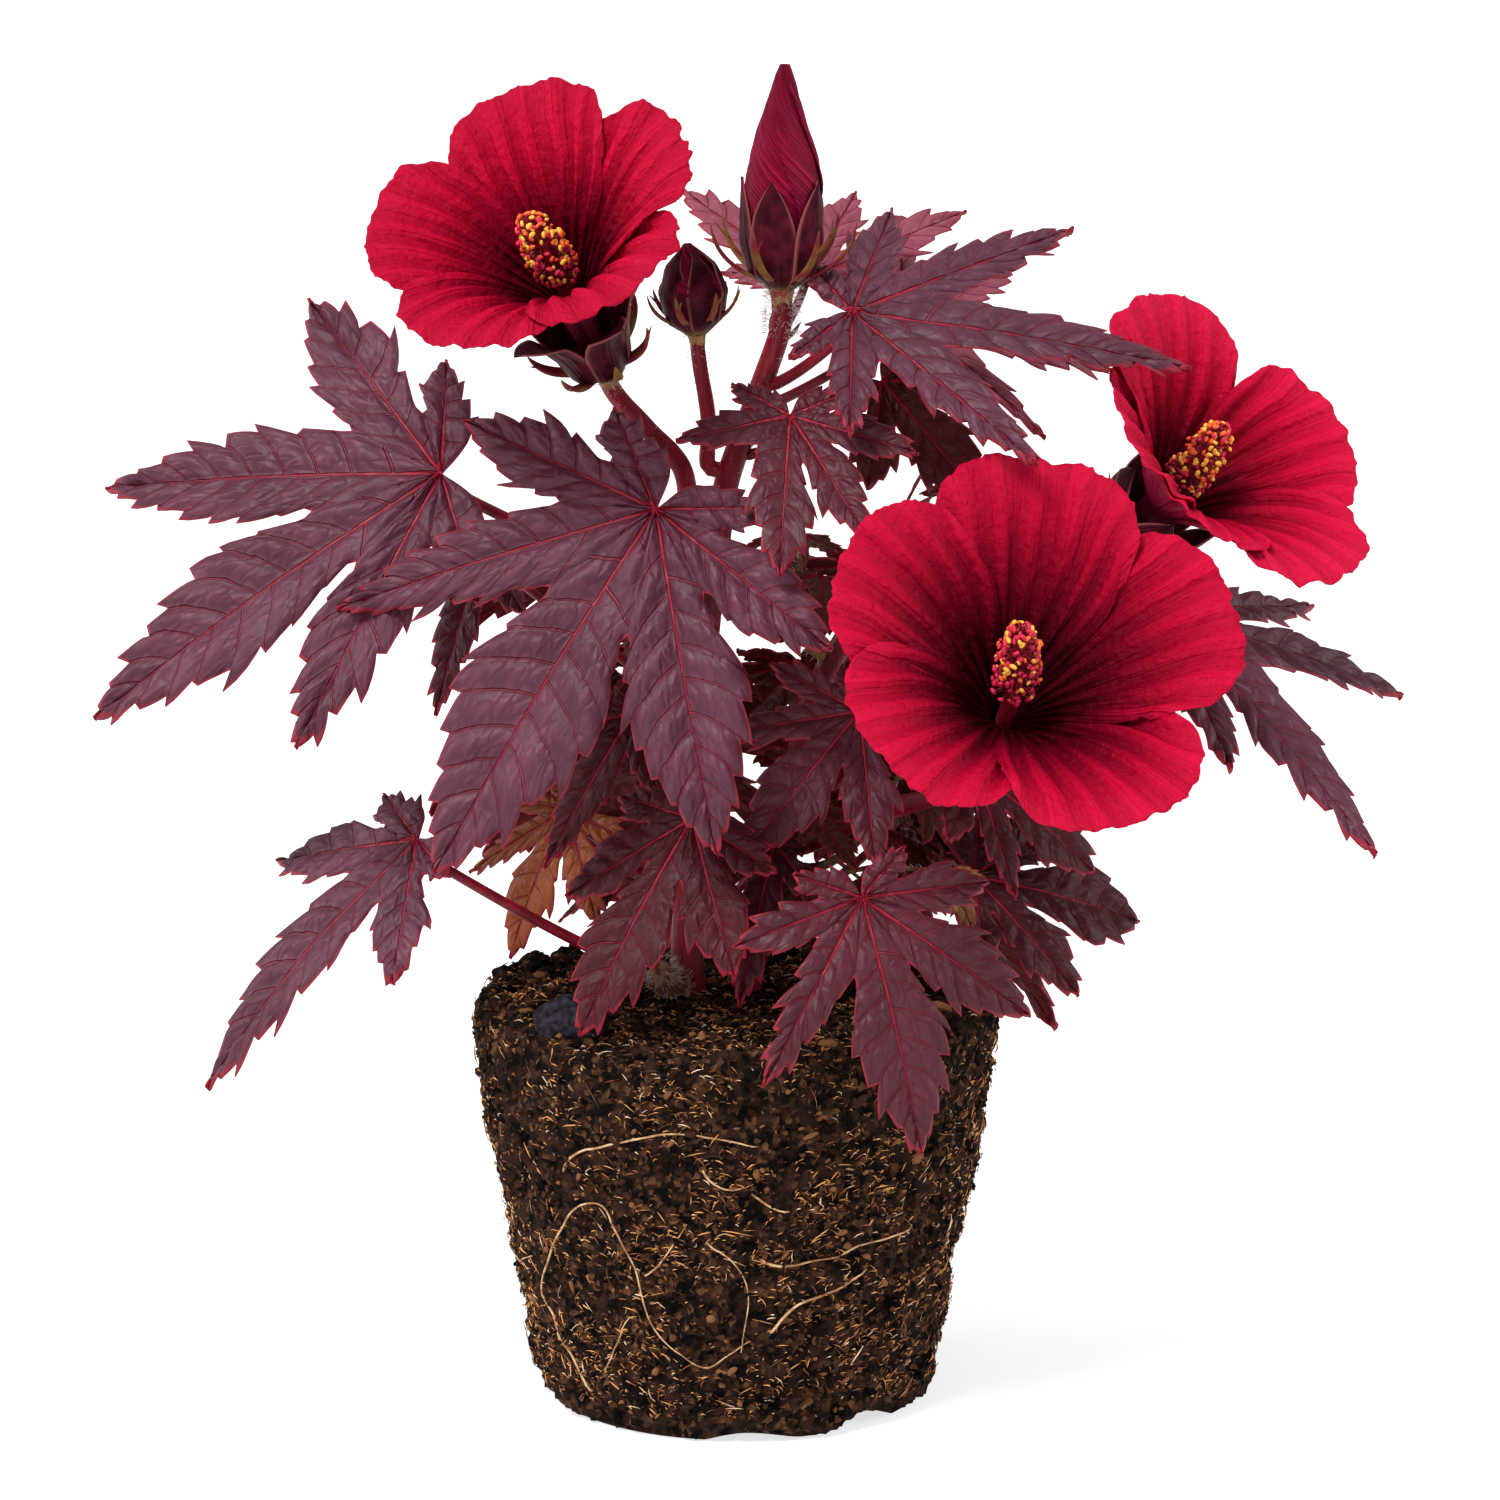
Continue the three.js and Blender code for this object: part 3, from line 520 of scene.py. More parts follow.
# The places that each limb passes, what carries it or goes before it, what it holds up, and its
# radius at either end
LIMBS = {
    "main_stem": dict(places=((-13, -2, 112), (-12, 0, 150), (-9, 2, 195), (-4, 0, 236)),
                      foot=4.4, tip=3.4, flare=1.6),
    "right_stem": dict(places=((3, 8, 112), (13, 9, 148), (20, 8, 185), (34, 8, 212)),
                       foot=3.9, tip=2.9, flare=1.1),
    "bud_bough": dict(places=((-1, -1, 250), (8, -2, 275)), follows="main_stem",
                      holds=buds["bud_tall"], foot=3.4, tip=2.7),
    "left_bloom_bough": dict(places=((-14, -3, 250), (-22.5, -4, 260)), carrier="main_stem", at=0.97,
                             holds=blooms["bloom_left"], foot=2.8, tip=2.4),
    "small_bud_bough": dict(places=((-7, -3, 262),), carrier="bud_bough", at=0.2,
                            holds=buds["bud_small"], foot=2.1, tip=1.9),
    "right_bloom_bough": dict(places=((58, 15, 214),), follows="right_stem",
                              holds=blooms["bloom_right"], foot=2.8, tip=2.3),
    "front_bloom_bough": dict(places=((34, -8, 158), (52, -26, 168)), carrier="right_stem", at=0.42,
                              holds=blooms["bloom_front"], foot=2.8, tip=2.5),
}


def seat_on(limb, at, toward):
    """Where a piece starts on a limb's side, and the way it sets out toward a place."""
    centre = limb["line"].at(at)
    heading = limb["line"].heading(at)
    out = Vector(toward) - centre
    out = (out - heading * out.dot(heading)).normalized()
    return centre + out * (limb["radius_at"](at) + CLEAR), out


def limb_line(row):
    """A limb's line, from inside what carries it to its last place or under what it holds up."""
    first = Vector(row["places"][0])
    if "carrier" in row:
        start, out = seat_on(LIMBS[row["carrier"]], row["at"], first)
        opening = [start, start + out * row["foot"]]
    elif "follows" in row:
        out = LIMBS[row["follows"]]["line"].heading(1)
        start = LIMBS[row["follows"]]["line"].at(1) + out * CLEAR
        opening = [start, start + out * BUTT]
    else:
        out = Vector((0, 0, 1))
        opening = [Vector((first.x, first.y, SOIL + rise)) for rise in (-BUTT, BUTT)]
    ending = []
    if "holds" in row:
        held = row["holds"]
        ending = [held["foot"] - held["axis"] * back for back in (2 * BUTT, CLEAR)]
    return smooth_line([*opening, *row["places"], *ending]), opening[0] - out * 2


wood, tree, shader, place = new_material("young_wood", roughness=0.45, shine=0.25)
patched = mottled(tree, place, 90, (84, 2, 16), (142, 10, 34), detail=4, stretch=(1, 1, 0.35))
streaks = noise_of(tree, place, 1300, 2, (1, 1, 0.06))
streaked = maths(tree, "MULTIPLY", faded(tree, streaks, 0.45, 0.75), 0.22)
tint = blended(tree, streaked, patched["Color"], colour(168, 66, 80))
tree.links.new(tint, shader.inputs["Base Color"])
bumped(tree, shader, streaks, 0.0003)

for name, row in LIMBS.items():
    row["line"], sunk = limb_line(row)
    row["radius_at"] = lambda share, r=row: (
        r["foot"] + (r["tip"] - r["foot"]) * share + r.get("flare", 0) * math.exp(-share * 14)
    )
    bark = bmesh.new()
    skin_line = Line([sunk, *row["line"].points])

    def bark_relief(share, turn):
        """Fine ridges that run up the limb, and the unevenness of a soft stem, in mm."""
        ridge = 0.07 * math.cos(5 * turn + 6 * share) + 0.04 * math.cos(11 * turn)
        around_limb = Vector((math.cos(turn), math.sin(turn), 0))
        return ridge + 0.15 * noise.noise(skin_line.at(share) * 0.11 + around_limb * 0.4)

    steps = int(skin_line.length / 1.2)
    tube(bark, skin_line, row["radius_at"], 20, steps, bark_relief)
    finish_piece(bark, name + "_bark", wood, [name])

# Leaves
# Soft thin hands of three to seven toothed lobes on long stalks, dark burgundy with a greyish
# bloom, red ribs and a red margin. The blade is sunk along its veins and quilted between them.
# Lobes are (turn from the middle one in degrees, length and half width over the leaf's length).
LOBES = {
    "broad": ((-124, 0.28, 0.075), (-84, 0.54, 0.09), (-43, 0.82, 0.09), (0, 1, 0.19),
              (43, 0.82, 0.15), (84, 0.54, 0.1), (124, 0.28, 0.06)),
    "windswept": ((-121, 0.3, 0.075), (-86, 0.62, 0.115), (-36, 0.86, 0.12), (0, 1, 0.155),
                  (32, 0.74, 0.11), (76, 0.36, 0.07)),
    "narrow": ((-92, 0.3, 0.075), (-50, 0.6, 0.11), (0, 1, 0.135), (50, 0.52, 0.1), (92, 0.22, 0.06)),
    "lopsided": ((-84, 0.36, 0.1), (-33, 0.62, 0.13), (0, 1, 0.2), (45, 0.72, 0.16), (84, 0.45, 0.1)),
    "swept": ((-52, 0.5, 0.07), (-26, 0.68, 0.085), (0, 1, 0.12), (60, 0.87, 0.12), (88, 0.74, 0.085)),
    "splayed": ((-84, 0.5, 0.1), (-32, 1, 0.14), (0, 0.78, 0.12), (55, 1, 0.14), (96, 0.4, 0.1)),
    "folded": ((-125, 0.4, 0.07), (-76, 0.62, 0.09), (0, 1, 0.14), (31, 0.86, 0.11), (74, 0.72, 0.1),
               (122, 0.42, 0.08)),
    "slender": ((-124, 0.28, 0.05), (-84, 0.54, 0.065), (-43, 0.82, 0.09), (0, 1, 0.1), (43, 0.82, 0.09),
                (84, 0.54, 0.08), (124, 0.28, 0.05)),
    "low": ((-84, 0.45, 0.1), (-42, 0.8, 0.14), (0, 1, 0.23), (40, 0.68, 0.15), (80, 0.4, 0.1)),
    "young": ((-62, 0.58, 0.13), (0, 1, 0.17), (62, 0.58, 0.13)),
}
FOLD = 0.14
BLADE_THICKNESS = 0.45
VEIN_ROWS = 5
TOOTH_DEPTH = 0.4
SWAY = 0.028
SLOT_ROUNDING = 0.012
QUILT = 0.02
RUFFLE = 0.008
UNEVENNESS = 0.3
MAP_SCALE = 0.1


def seeded(seed):
    """Numbers between 0 and 1 that are the same in every run."""
    state = seed
    while True:
        state = (state * 1664525 + 1013904223) % 2 ** 32
        yield state / 2 ** 32


def leaf_axes(leaf):
    """The leaf's own directions: its face, its middle lobe and the way across."""
    face = direction(*leaf["faces"])
    down = (Vector((0, 0, -1)) + face * face.z).normalized()
    along = Matrix.Rotation(math.radians(leaf["heading"]), 3, face) @ down
    return face, along, face.cross(along)


def half_width(reach, at_cut, widest):
    """Half a lobe's width from its cut, at 0, to its tip, at 1, as shares of the leaf's length."""
    crest = 0.38
    if reach < crest:
        return at_cut + (widest - at_cut) * math.sin(math.pi / 2 * reach / crest)
    past = (reach - crest) / (1 - crest)
    return widest * (1 - past) ** 0.85 * (1 + 0.25 * past)


def lobe_edge(half, row):
    """Where a row of half a lobe ends, in shares of the leaf's length.

    Gives how far along and out the edge is, how far its tooth stands out and on, how free the
    row is of the next lobe, and how far it still is from the cut between them.
    """
    gap, share, start, teeth = half["gap"], half["share"], half["start"], half["teeth"]
    wedge_rows, free_rows = half["wedge_rows"], teeth * VEIN_ROWS
    if gap and row <= wedge_rows:
        along = start * row / wedge_rows * share
        return along, along * gap["slope"], 0, 0, 0, gap["cut"] * (1 - row / wedge_rows)
    free = (row - wedge_rows) / free_rows if gap else row / (free_rows + wedge_rows)
    reach = 1 - (1 - free) ** 1.3 + SWAY * math.sin(free * teeth * 2.1 + half["sway"]) * free * (1 - free)
    out = half_width(reach, gap["out"] if gap else 0, half["widest"])
    along = share * (start + (1 - start) * reach)
    phase = row / VEIN_ROWS + half["shift"]
    saw = phase % 1
    spacing = 1.3 * share * (1 - start) / teeth * (1 - free) ** 0.5
    bite = min(1, free / 0.3) * min(TOOTH_DEPTH * spacing, out * 0.6)
    tooth = half["tooth_sizes"][int(phase)] * bite if row > wedge_rows and free < 1 else 0
    tooth_out = tooth * (min(saw / 0.8, 1) ** 0.85 - 0.5)
    tooth_along = min(tooth * 1.5 * saw ** 2, share - along)
    if gap:
        slot = min((along - gap["along"]) / SLOT_ROUNDING, 1)
        rounding = SLOT_ROUNDING * math.sqrt(max(0, 1 - (1 - slot) ** 2))
        out = min(out, along * gap["slope"] - rounding)
    return along, max(out, 0), tooth_out, tooth_along, free, 0


def blade_lift(leaf, half, x, y, w, out, phase, free):
    """How far a blade stands over its plane: folded at the rib, drooping, quilted and ruffled."""
    quilt = QUILT * (4 * w * (1 - w)) ** 0.7 * math.sin(math.pi * (phase % 1)) ** 0.6
    quilt *= 0.9 + 0.7 * noise.noise(Vector((phase * 0.7, w * 2.6, half["share"] * 9 + half["side"])))
    ruffle = RUFFLE * w * w * min(1, free * 3) * math.sin(phase * 2.9 + half["turn"])
    fold = FOLD * out * w * (1.25 - 0.35 * w)
    reach_out = max(0, math.hypot(x, y) - 0.3) * min(1, free * 2)
    bend = leaf["droop"] * (x * x + y * y) + half["curl"] * reach_out ** 2
    return fold + quilt + ruffle - bend + half["twist"] * half["side"] * out * w * free


def half_lobe(bm, leaf, half):
    """One side of a lobe from its rib to its toothed edge, as a grid whose rows follow its veins."""
    length, share, side = leaf["length"], half["share"], half["side"]
    wedge_rows, free_rows = half["wedge_rows"], half["teeth"] * VEIN_ROWS
    columns = leaf.get("columns", 7)
    rows = wedge_rows + free_rows
    grid = bmesh.ops.create_grid(bm, x_segments=columns, y_segments=rows, size=1)["verts"]
    face, middle, aside = leaf_axes(leaf)
    foot = Vector(leaf["foot"])
    cos_turn, sin_turn = math.cos(math.radians(half["turn"])), math.sin(math.radians(half["turn"]))
    rib_start = half["rib_start"]
    notes = {}
    for row in range(rows + 1):
        phase = row / VEIN_ROWS + half["shift"]
        rib = rib_start * row / wedge_rows
        if row > wedge_rows:
            rib = rib_start + (1 - rib_start) * (row - wedge_rows) / free_rows
        edge_along, out, tooth_out, tooth_along, free, to_cut = lobe_edge(half, row)
        for column in range(columns + 1):
            w = (column / columns) ** 1.1
            along = rib * share + (edge_along - rib * share) * w ** 1.25 + tooth_along * w ** 4
            across = side * (out * w + tooth_out * w ** 4)
            x = along * cos_turn - across * sin_turn
            y = along * sin_turn + across * cos_turn
            lift = blade_lift(leaf, half, x, y, w, out, phase, free)
            spot = foot + (middle * x + aside * y + face * lift) * length
            spot += face * UNEVENNESS * noise.noise(spot * 0.2) * min(1, length / 60)
            corner = grid[row * (columns + 1) + column]
            corner.co = spot
            from_edge = math.hypot((1 - w) * out, to_cut)
            notes[corner] = (phase, abs(across) * length, from_edge * length, 1 - along / share)
    uv, edge_uv = (bm.loops.layers.uv[name] for name in ("leaf_map", "edge_map"))
    faces = {face for corner in grid for face in corner.link_faces}
    for loop in (loop for face in faces for loop in face.loops):
        phase, from_rib, from_edge, to_tip = notes[loop.vert]
        loop[uv].uv = (phase, from_rib * MAP_SCALE)
        loop[edge_uv].uv = (from_edge * MAP_SCALE, to_tip)
    if side > 0:
        bmesh.ops.reverse_faces(bm, faces=list(faces))


def leaf_blade(bm, leaf):
    """A leaf's upper sheet of lobes that meet along the lines between them."""
    lobes = LOBES[leaf["lobes"]]
    chance = seeded(int(leaf["length"] * 7 + leaf["heading"]) % 997 + 1)
    gaps = [None]
    for (before, share_before, _), (turn, share, _) in zip(lobes, lobes[1:]):
        angle = math.radians((turn - before) / 2)
        cut = (0.12 + 0.34 * min(share, share_before)) * leaf.get("cut", 0.78)
        gaps.append(dict(cut=cut, along=cut * math.cos(angle), out=cut * math.sin(angle),
                         slope=math.tan(angle)))
    gaps.append(None)
    for i, (turn, share, widest) in enumerate(lobes):
        starts = [gap["along"] / share for gap in gaps[i:i + 2] if gap]
        free_length = share * (1 - max(starts)) * leaf["length"]
        teeth = leaf.get("teeth") or max(3, round(2.6 + 0.088 * free_length))
        curl = leaf["droop"] * 0.9 * (next(chance) - 0.35)
        twist = 0.3 * (next(chance) - 0.5)
        for side, gap in ((-1, gaps[i]), (1, gaps[i + 1])):
            half_lobe(bm, leaf, dict(
                turn=turn, share=share, side=side, gap=gap, teeth=teeth, curl=curl, twist=twist,
                widest=widest * leaf.get("wide", 1), wedge_rows=leaf.get("wedge_rows", 8),
                rib_start=0.8 * min(starts), start=gap["along"] / share if gap else 0,
                shift=0.5 if side > 0 else 0,
                tooth_sizes=[(0.35 + 0.9 * next(chance)) * (0.6, 1.35)[n % 2] for n in range(teeth + 3)],
                sway=ANY_TURN * next(chance),
            ))
    bmesh.ops.remove_doubles(bm, verts=bm.verts, dist=0.02)


def stalk_line(leaf, start, out, radius):
    """A leaf stalk's line: from its carrier's side, first straight out and then up under the blade."""
    face, along, _ = leaf_axes(leaf)
    foot = Vector(leaf["foot"]) - face * radius * 0.5 + along * radius * 1.6
    span = (foot - start).length
    straight = (foot - start) / span
    leaving = (out * 0.5 + straight).normalized()
    reaching = (straight + face * 0.35).normalized()
    knots = (start, start + leaving * span * 0.25, foot - reaching * span * 0.3, foot)
    return Line([start - out * 1.5, *interpolate_bezier(*knots, 40)])


# Each leaf's values stand in the order of LEAF_WORDS
LEAVES = {
    "leaf_left_upper": ((-76, -13, 250), (-14, 35), -52, 110, 0.11, "windswept", "main_stem", 0.84),
    "leaf_front_large": ((-20, -45, 246), (-10, 25), -30, 107, 0.16, "broad", "main_stem", 0.72),
    "leaf_left_inner": ((-66, 8, 227), (-30, 30), -5, 46, 0.12, "narrow", "main_stem", 0.64),
    "leaf_left_low": ((-83, -15, 153), (-45, 45), -25, 85, 0.15, "narrow", "main_stem", 0.07),
    "leaf_left_brown": ((-44, 14, 155), (-35, 35), -10, 42, 0.15, "broad", "main_stem", 0.25),
    "leaf_front_low": ((-11, -42, 165), (-20, 36), -20, 62, 0.14, "lopsided", "main_stem", 0.32),
    "leaf_inner_low": ((10, -26, 155), (0, 30), -12, 44, 0.12, "narrow", "main_stem", 0.2),
    "leaf_front_foot": ((32, -62, 149), (16, 24), 10, 66, 0.15, "broad", "right_stem", 0.16),
    "leaf_right_low": ((62, -17, 144), (30, 40), 72, 52, 0.13, "low", "right_stem", 0.25),
    "leaf_under_bloom": ((62, -14, 172), (35, 35), 44, 44, 0.12, "broad", "right_stem", 0.72),
    "leaf_front_middle": ((32, -27, 190), (5, 35), -40, 50, 0.12, "broad", "right_stem", 0.68),
    "leaf_top_middle": ((14, -32, 268), (-5, 48), 0, 48, 0.1, "folded", "bud_bough", 0.4),
    "leaf_top_right": ((30, -15, 292), (3, 60), 80, 88, 0.07, "slender", "bud_bough", 0.62),
    "leaf_behind_bud": ((18, 22, 295), (0, 60), 161, 56, 0.05, "splayed", "bud_bough", 0.8),
    "leaf_right_pale": ((44, 30, 285), (30, 55), 70, 62, 0.1, "broad", "bud_bough", 0.5),
    "leaf_right_folded": ((38, 2, 272), (15, 20), 38, 48, 0.12, "narrow", "bud_bough", 0.3),
    "leaf_right_far": ((111, -11, 212), (48, 60), -1, 88, 0.12, "swept", "right_bloom_bough", 0.42),
    "leaf_inner_hanging": ((-27, -10, 186), (-15, 30), -25, 46, 0.12, "narrow", "main_stem", 0.5),
}
LEAF_WORDS = ("foot", "faces", "heading", "length", "droop", "lobes", "limb", "at")
leaves = {name: dict(zip(LEAF_WORDS, row)) for name, row in LEAVES.items()}
LOBE_WIDTHS = {"leaf_right_pale": 0.75, "leaf_right_folded": 1.4, "leaf_right_low": 1.35,
               "leaf_under_bloom": 1.3, "leaf_top_middle": 1.3}
for name, wide in LOBE_WIDTHS.items():
    leaves[name]["wide"] = wide

# The side that faces +Y has leaves that climb the two stems, spread by the golden section
BACK_LEAVES = 8
back_chance = seeded(5)
for i in range(BACK_LEAVES):
    rise = i / (BACK_LEAVES - 1)
    azimuth = 122 + 118 * (i * 0.618 % 1)
    limb = "right_stem" if azimuth < 180 else "main_stem"
    at = 0.22 + 0.6 * rise
    reach = direction(azimuth, 28) * (40 + 14 * next(back_chance))
    faces = (azimuth, 38 + 14 * next(back_chance))
    row = (LIMBS[limb]["line"].at(at) + reach, faces, 30 * (next(back_chance) - 0.5), 78 - 20 * rise,
           0.14, "broad", limb, at)
    leaves[f"leaf_back_{i + 1}"] = dict(zip(LEAF_WORDS, row))

# Leaf colours
# One group works out the veins, margin and mottling from the blade's own maps, and each tone
# gives it its own blade colours: upper leaves greyer, lower ones redder, one old leaf brown.
veins, given, put_out = new_group("leaf_veins", {
    "Place": "Vector", "Leaf Map": "Vector", "Edge Map": "Vector", "Blade": "Color",
    "Shade": "Color", "Vein": "Color", "Margin": "Color",
}, {"Color": "Color", "Height": "Float"})
leaf_map = shader_node(veins, "ShaderNodeSeparateXYZ", {0: given["Leaf Map"]}).outputs
edge_map = shader_node(veins, "ShaderNodeSeparateXYZ", {0: given["Edge Map"]}).outputs
rib_width = maths(veins, "MULTIPLY_ADD", edge_map[1], 0.042, 0.012)
ribs = faded(veins, maths(veins, "SUBTRACT", rib_width, leaf_map[1]), -0.006, 0.016)
wander = maths(veins, "MULTIPLY_ADD", noise_of(veins, given["Place"], 140, 2), 0.3, -0.15)
phase = maths(veins, "ADD", leaf_map[0], maths(veins, "MULTIPLY", wander, leaf_map[1]))
from_vein = maths(veins, "PINGPONG", phase, 0.5)
side_veins = faded(veins, maths(veins, "SUBTRACT", 0.03, from_vein), -0.02, 0.015)
blurred = shader_node(veins, "ShaderNodeTexNoise", {"Vector": given["Leaf Map"], "Scale": 2.0})
bent = shader_node(veins, "ShaderNodeVectorMath", {0: blurred.outputs["Color"], 1: (0.3, 0.2, 0),
                                                   2: given["Leaf Map"]}, operation="MULTIPLY_ADD")
meshed = shader_node(veins, "ShaderNodeMapping", {"Vector": bent.outputs[0], "Scale": (1.6, 4.0, 1)})
net_place = shader_node(veins, "ShaderNodeTexVoronoi", {"Vector": meshed.outputs[0], "Scale": 1.0},
                        feature="DISTANCE_TO_EDGE").outputs["Distance"]
net = maths(veins, "SUBTRACT", 1, faded(veins, net_place, 0.01, 0.14))
margin = maths(veins, "SUBTRACT", 1, faded(veins, edge_map[0], 0.02, 0.055))
mottle = faded(veins, noise_of(veins, given["Place"], 60, 4), 0.3, 0.72)
mottle = maths(veins, "MULTIPLY_ADD", mottle, 0.5, 0.5)
blade = blended(veins, mottle, given["Shade"], given["Blade"])
# The fine net of hollows between the quilted cells is darkened toward the Shade colour: painted shade.
blade = blended(veins, maths(veins, "MULTIPLY", net, 0.42), blade, given["Shade"])
drawn = maths(veins, "MAXIMUM", ribs, side_veins)
lined = maths(veins, "MAXIMUM", ribs, maths(veins, "MULTIPLY", side_veins, 0.4))
blade = blended(veins, lined, blade, given["Vein"])
blade = blended(veins, maths(veins, "MULTIPLY", margin, 0.75), blade, given["Margin"])
cells = maths(veins, "MULTIPLY", faded(veins, net_place, 0, 0.42), 0.6)
veins.links.new(blade, put_out["Color"])
veins.links.new(maths(veins, "SUBTRACT", cells, drawn), put_out["Height"])

# Each tone's blade, its second colour for mottling and painted shade in hollows, and how much it shines
LEAF_TONES = {
    "grey": ((94, 43, 61), (54, 19, 31), 0.26),
    "burgundy": ((86, 28, 43), (54, 13, 24), 0.26),
    "wine": ((72, 17, 29), (44, 7, 15), 0.18),
    "pale": ((138, 65, 84), (108, 42, 56), 0.26),
    "rust": ((80, 24, 26), (50, 9, 10), 0.14),
    "brown": ((136, 66, 22), (98, 34, 14), 0.26),
    "under": ((104, 38, 40), (72, 18, 22), 0.04),
    "young": ((88, 26, 34), (86, 66, 34), 0.12),
    "olive": ((134, 108, 56), (112, 66, 40), 0.26),
}
TONE_OF = {
    "leaf_left_upper": "grey", "leaf_front_large": "grey", "leaf_left_low": "grey",
    "leaf_top_right": "grey", "leaf_right_far": "grey", "leaf_behind_bud": "pale",
    "leaf_right_pale": "pale", "leaf_right_folded": "rust", "leaf_left_brown": "brown",
    "leaf_front_low": "wine", "leaf_inner_low": "wine", "leaf_right_low": "wine",
    "leaf_inner_hanging": "wine", "leaf_under_bloom": "wine",
}


def leaf_material(tone):
    """A leaf skin of one tone: the underside is the dullest."""
    blade, shade, shine = LEAF_TONES[tone]
    material, tree, shader, place = new_material("leaf_" + tone, shine=shine)
    feeds = {"Place": place, "Blade": colour(*blade), "Shade": colour(*shade),
             "Vein": colour(138, 18, 42), "Margin": colour(150, 26, 46)}
    for socket, uv_map in (("Leaf Map", "leaf_map"), ("Edge Map", "edge_map")):
        feeds[socket] = shader_node(tree, "ShaderNodeUVMap", uv_map=uv_map).outputs[0]
    skin = shader_node(tree, "ShaderNodeGroup", feeds, node_tree=veins).outputs
    tree.links.new(skin["Color"], shader.inputs["Base Color"])
    rough = maths(tree, "MULTIPLY_ADD", noise_of(tree, place, 400), 0.2, 0.4)
    tree.links.new(rough, shader.inputs["Roughness"])
    bumped(tree, shader, skin["Height"], 0.0006)
    return material


def mapped_sheet(*uv_maps):
    """An empty mesh with the maps that its skin reads."""
    bm = bmesh.new()
    for uv_map in uv_maps:
        bm.loops.layers.uv.new(uv_map)
    return bm


def thicken(piece, thickness, under=None):
    """Gives a thin sheet its thickness, in mm, below its upper skin, and may give it an underside."""
    wall = piece.modifiers.new("thickness", "SOLIDIFY")
    wall.thickness = thickness * MM
    wall.offset = -1
    if under:
        piece.data.materials.append(under)
        wall.material_offset = 1


stalk_skin = mottled_skin("stalk_skin", 120, (86, 4, 20), (140, 14, 38), roughness=0.42, shine=0.25)
tones = {tone: leaf_material(tone) for tone in LEAF_TONES}
stalks = bmesh.new()
stalk_feet = []
for name, leaf in leaves.items():
    sheet = mapped_sheet("leaf_map", "edge_map")
    leaf_blade(sheet, leaf)
    tone = tones[TONE_OF.get(name, "burgundy")]
    blade_piece = finish_piece(sheet, name + "_blade", tone, [name], closed=False)
    thicken(blade_piece, BLADE_THICKNESS, tones["under"])
    thick = 0.9 + leaf["length"] * 0.006
    limb = LIMBS[leaf["limb"]]
    start, out = seat_on(limb, leaf["at"], leaf["foot"])
    stalk_feet.append((start, out, limb["line"].heading(leaf["at"])))
    line = stalk_line(leaf, start, out, thick)
    tube(stalks, line, lambda share: thick * (1.15 - 0.25 * share + 0.5 * math.exp(-share * 30)), 10, 26)
finish_piece(stalks, "leaf_stalks", stalk_skin)

# Young shoots
# Short fuzzy shoots low in the plant and behind it, each set with small young leaves that follow
# each other by the golden turn. A leaf that would leave the shoot's room or meet a limb is skipped.
GOLDEN_TURN = 137.5
YOUNG_THICKNESS = 0.3
OLIVE_FOOT = (55, -36, 150)

# Each shoot's limb and place on it, its heading, length, leaves, their length, and its seed
TUFTS = {
    "tuft_foot_left": ("main_stem", 0.16, (-152, 52), 30, 6, 24, 2),
    "tuft_middle": ("right_stem", 0.34, (40, 62), 26, 10, 24, 3),
    "tuft_right": ("right_stem", 0.36, (70, 38), 36, 11, 26, 8),
    "tuft_inner_top": ("right_stem", 0.85, (-40, 70), 26, 6, 24, 5),
    "tuft_back_left": ("main_stem", 0.6, (190, 30), 34, 6, 26, 6),
    "tuft_back_right": ("right_bloom_bough", 0.35, (165, 50), 34, 6, 26, 7),
}


def across_of(axis, phase):
    """The direction square to an axis that lies uppermost, turned round it by a phase in degrees."""
    up = Vector((0, 0, 1))
    across = (up - axis * up.dot(axis)).normalized()
    return Matrix.Rotation(math.radians(phase), 3, axis) @ across


def near_limb(place, own):
    """Whether a place is too close to a limb for a young leaf."""
    for name, limb in LIMBS.items():
        room = limb["radius_at"](0) + (4 if name == own else 2)
        if np.linalg.norm(limb["line"].points - np.array(place), axis=1).min() < room:
            return True
    return False


def bent_over(start, bend, end, steps):
    """The places along a curve from a start to an end that is drawn toward a bend."""
    return interpolate_bezier(start, start.lerp(bend, 2 / 3), end.lerp(bend, 2 / 3), end, steps)


def shoot_leaves(limb, line, middle, room, count, size, chance):
    """The young leaves of a shoot, as leaf rows, each with the place that its stalk starts from."""
    rows = []
    for i in range(count):
        at = 0.3 + 0.7 * i / (count - 1)
        node, heading = line.at(at), line.heading(at)
        leaning = (across_of(heading, GOLDEN_TURN * i) * 0.85 + heading * 0.5).normalized()
        length = size * (0.75 + 0.35 * next(chance))
        foot = node + leaning * length * 0.45
        azimuth = math.degrees(math.atan2(leaning.x, -leaning.y))
        faces = (azimuth + 30 * (next(chance) - 0.5), 35 + 25 * next(chance))
        row = dict(foot=foot, faces=faces, heading=60 * (next(chance) - 0.5), length=length,
                   droop=0.12, lobes="young", teeth=5, wedge_rows=4, columns=4, cut=1, node=node)
        tip = foot + leaf_axes(row)[1] * length
        inside = (tip - middle).length <= room and tip.z >= SOIL + 3
        if inside and not any(near_limb(p, limb) for p in (foot, foot.lerp(tip, 0.5), tip)):
            rows.append(row)
    return rows


def furred(line, radius, count, first=0, last=1):
    """Where hairs stand along a line: the line, its radius and each hair's share."""
    return [(line, radius, share) for share in np.linspace(first, last, count)]


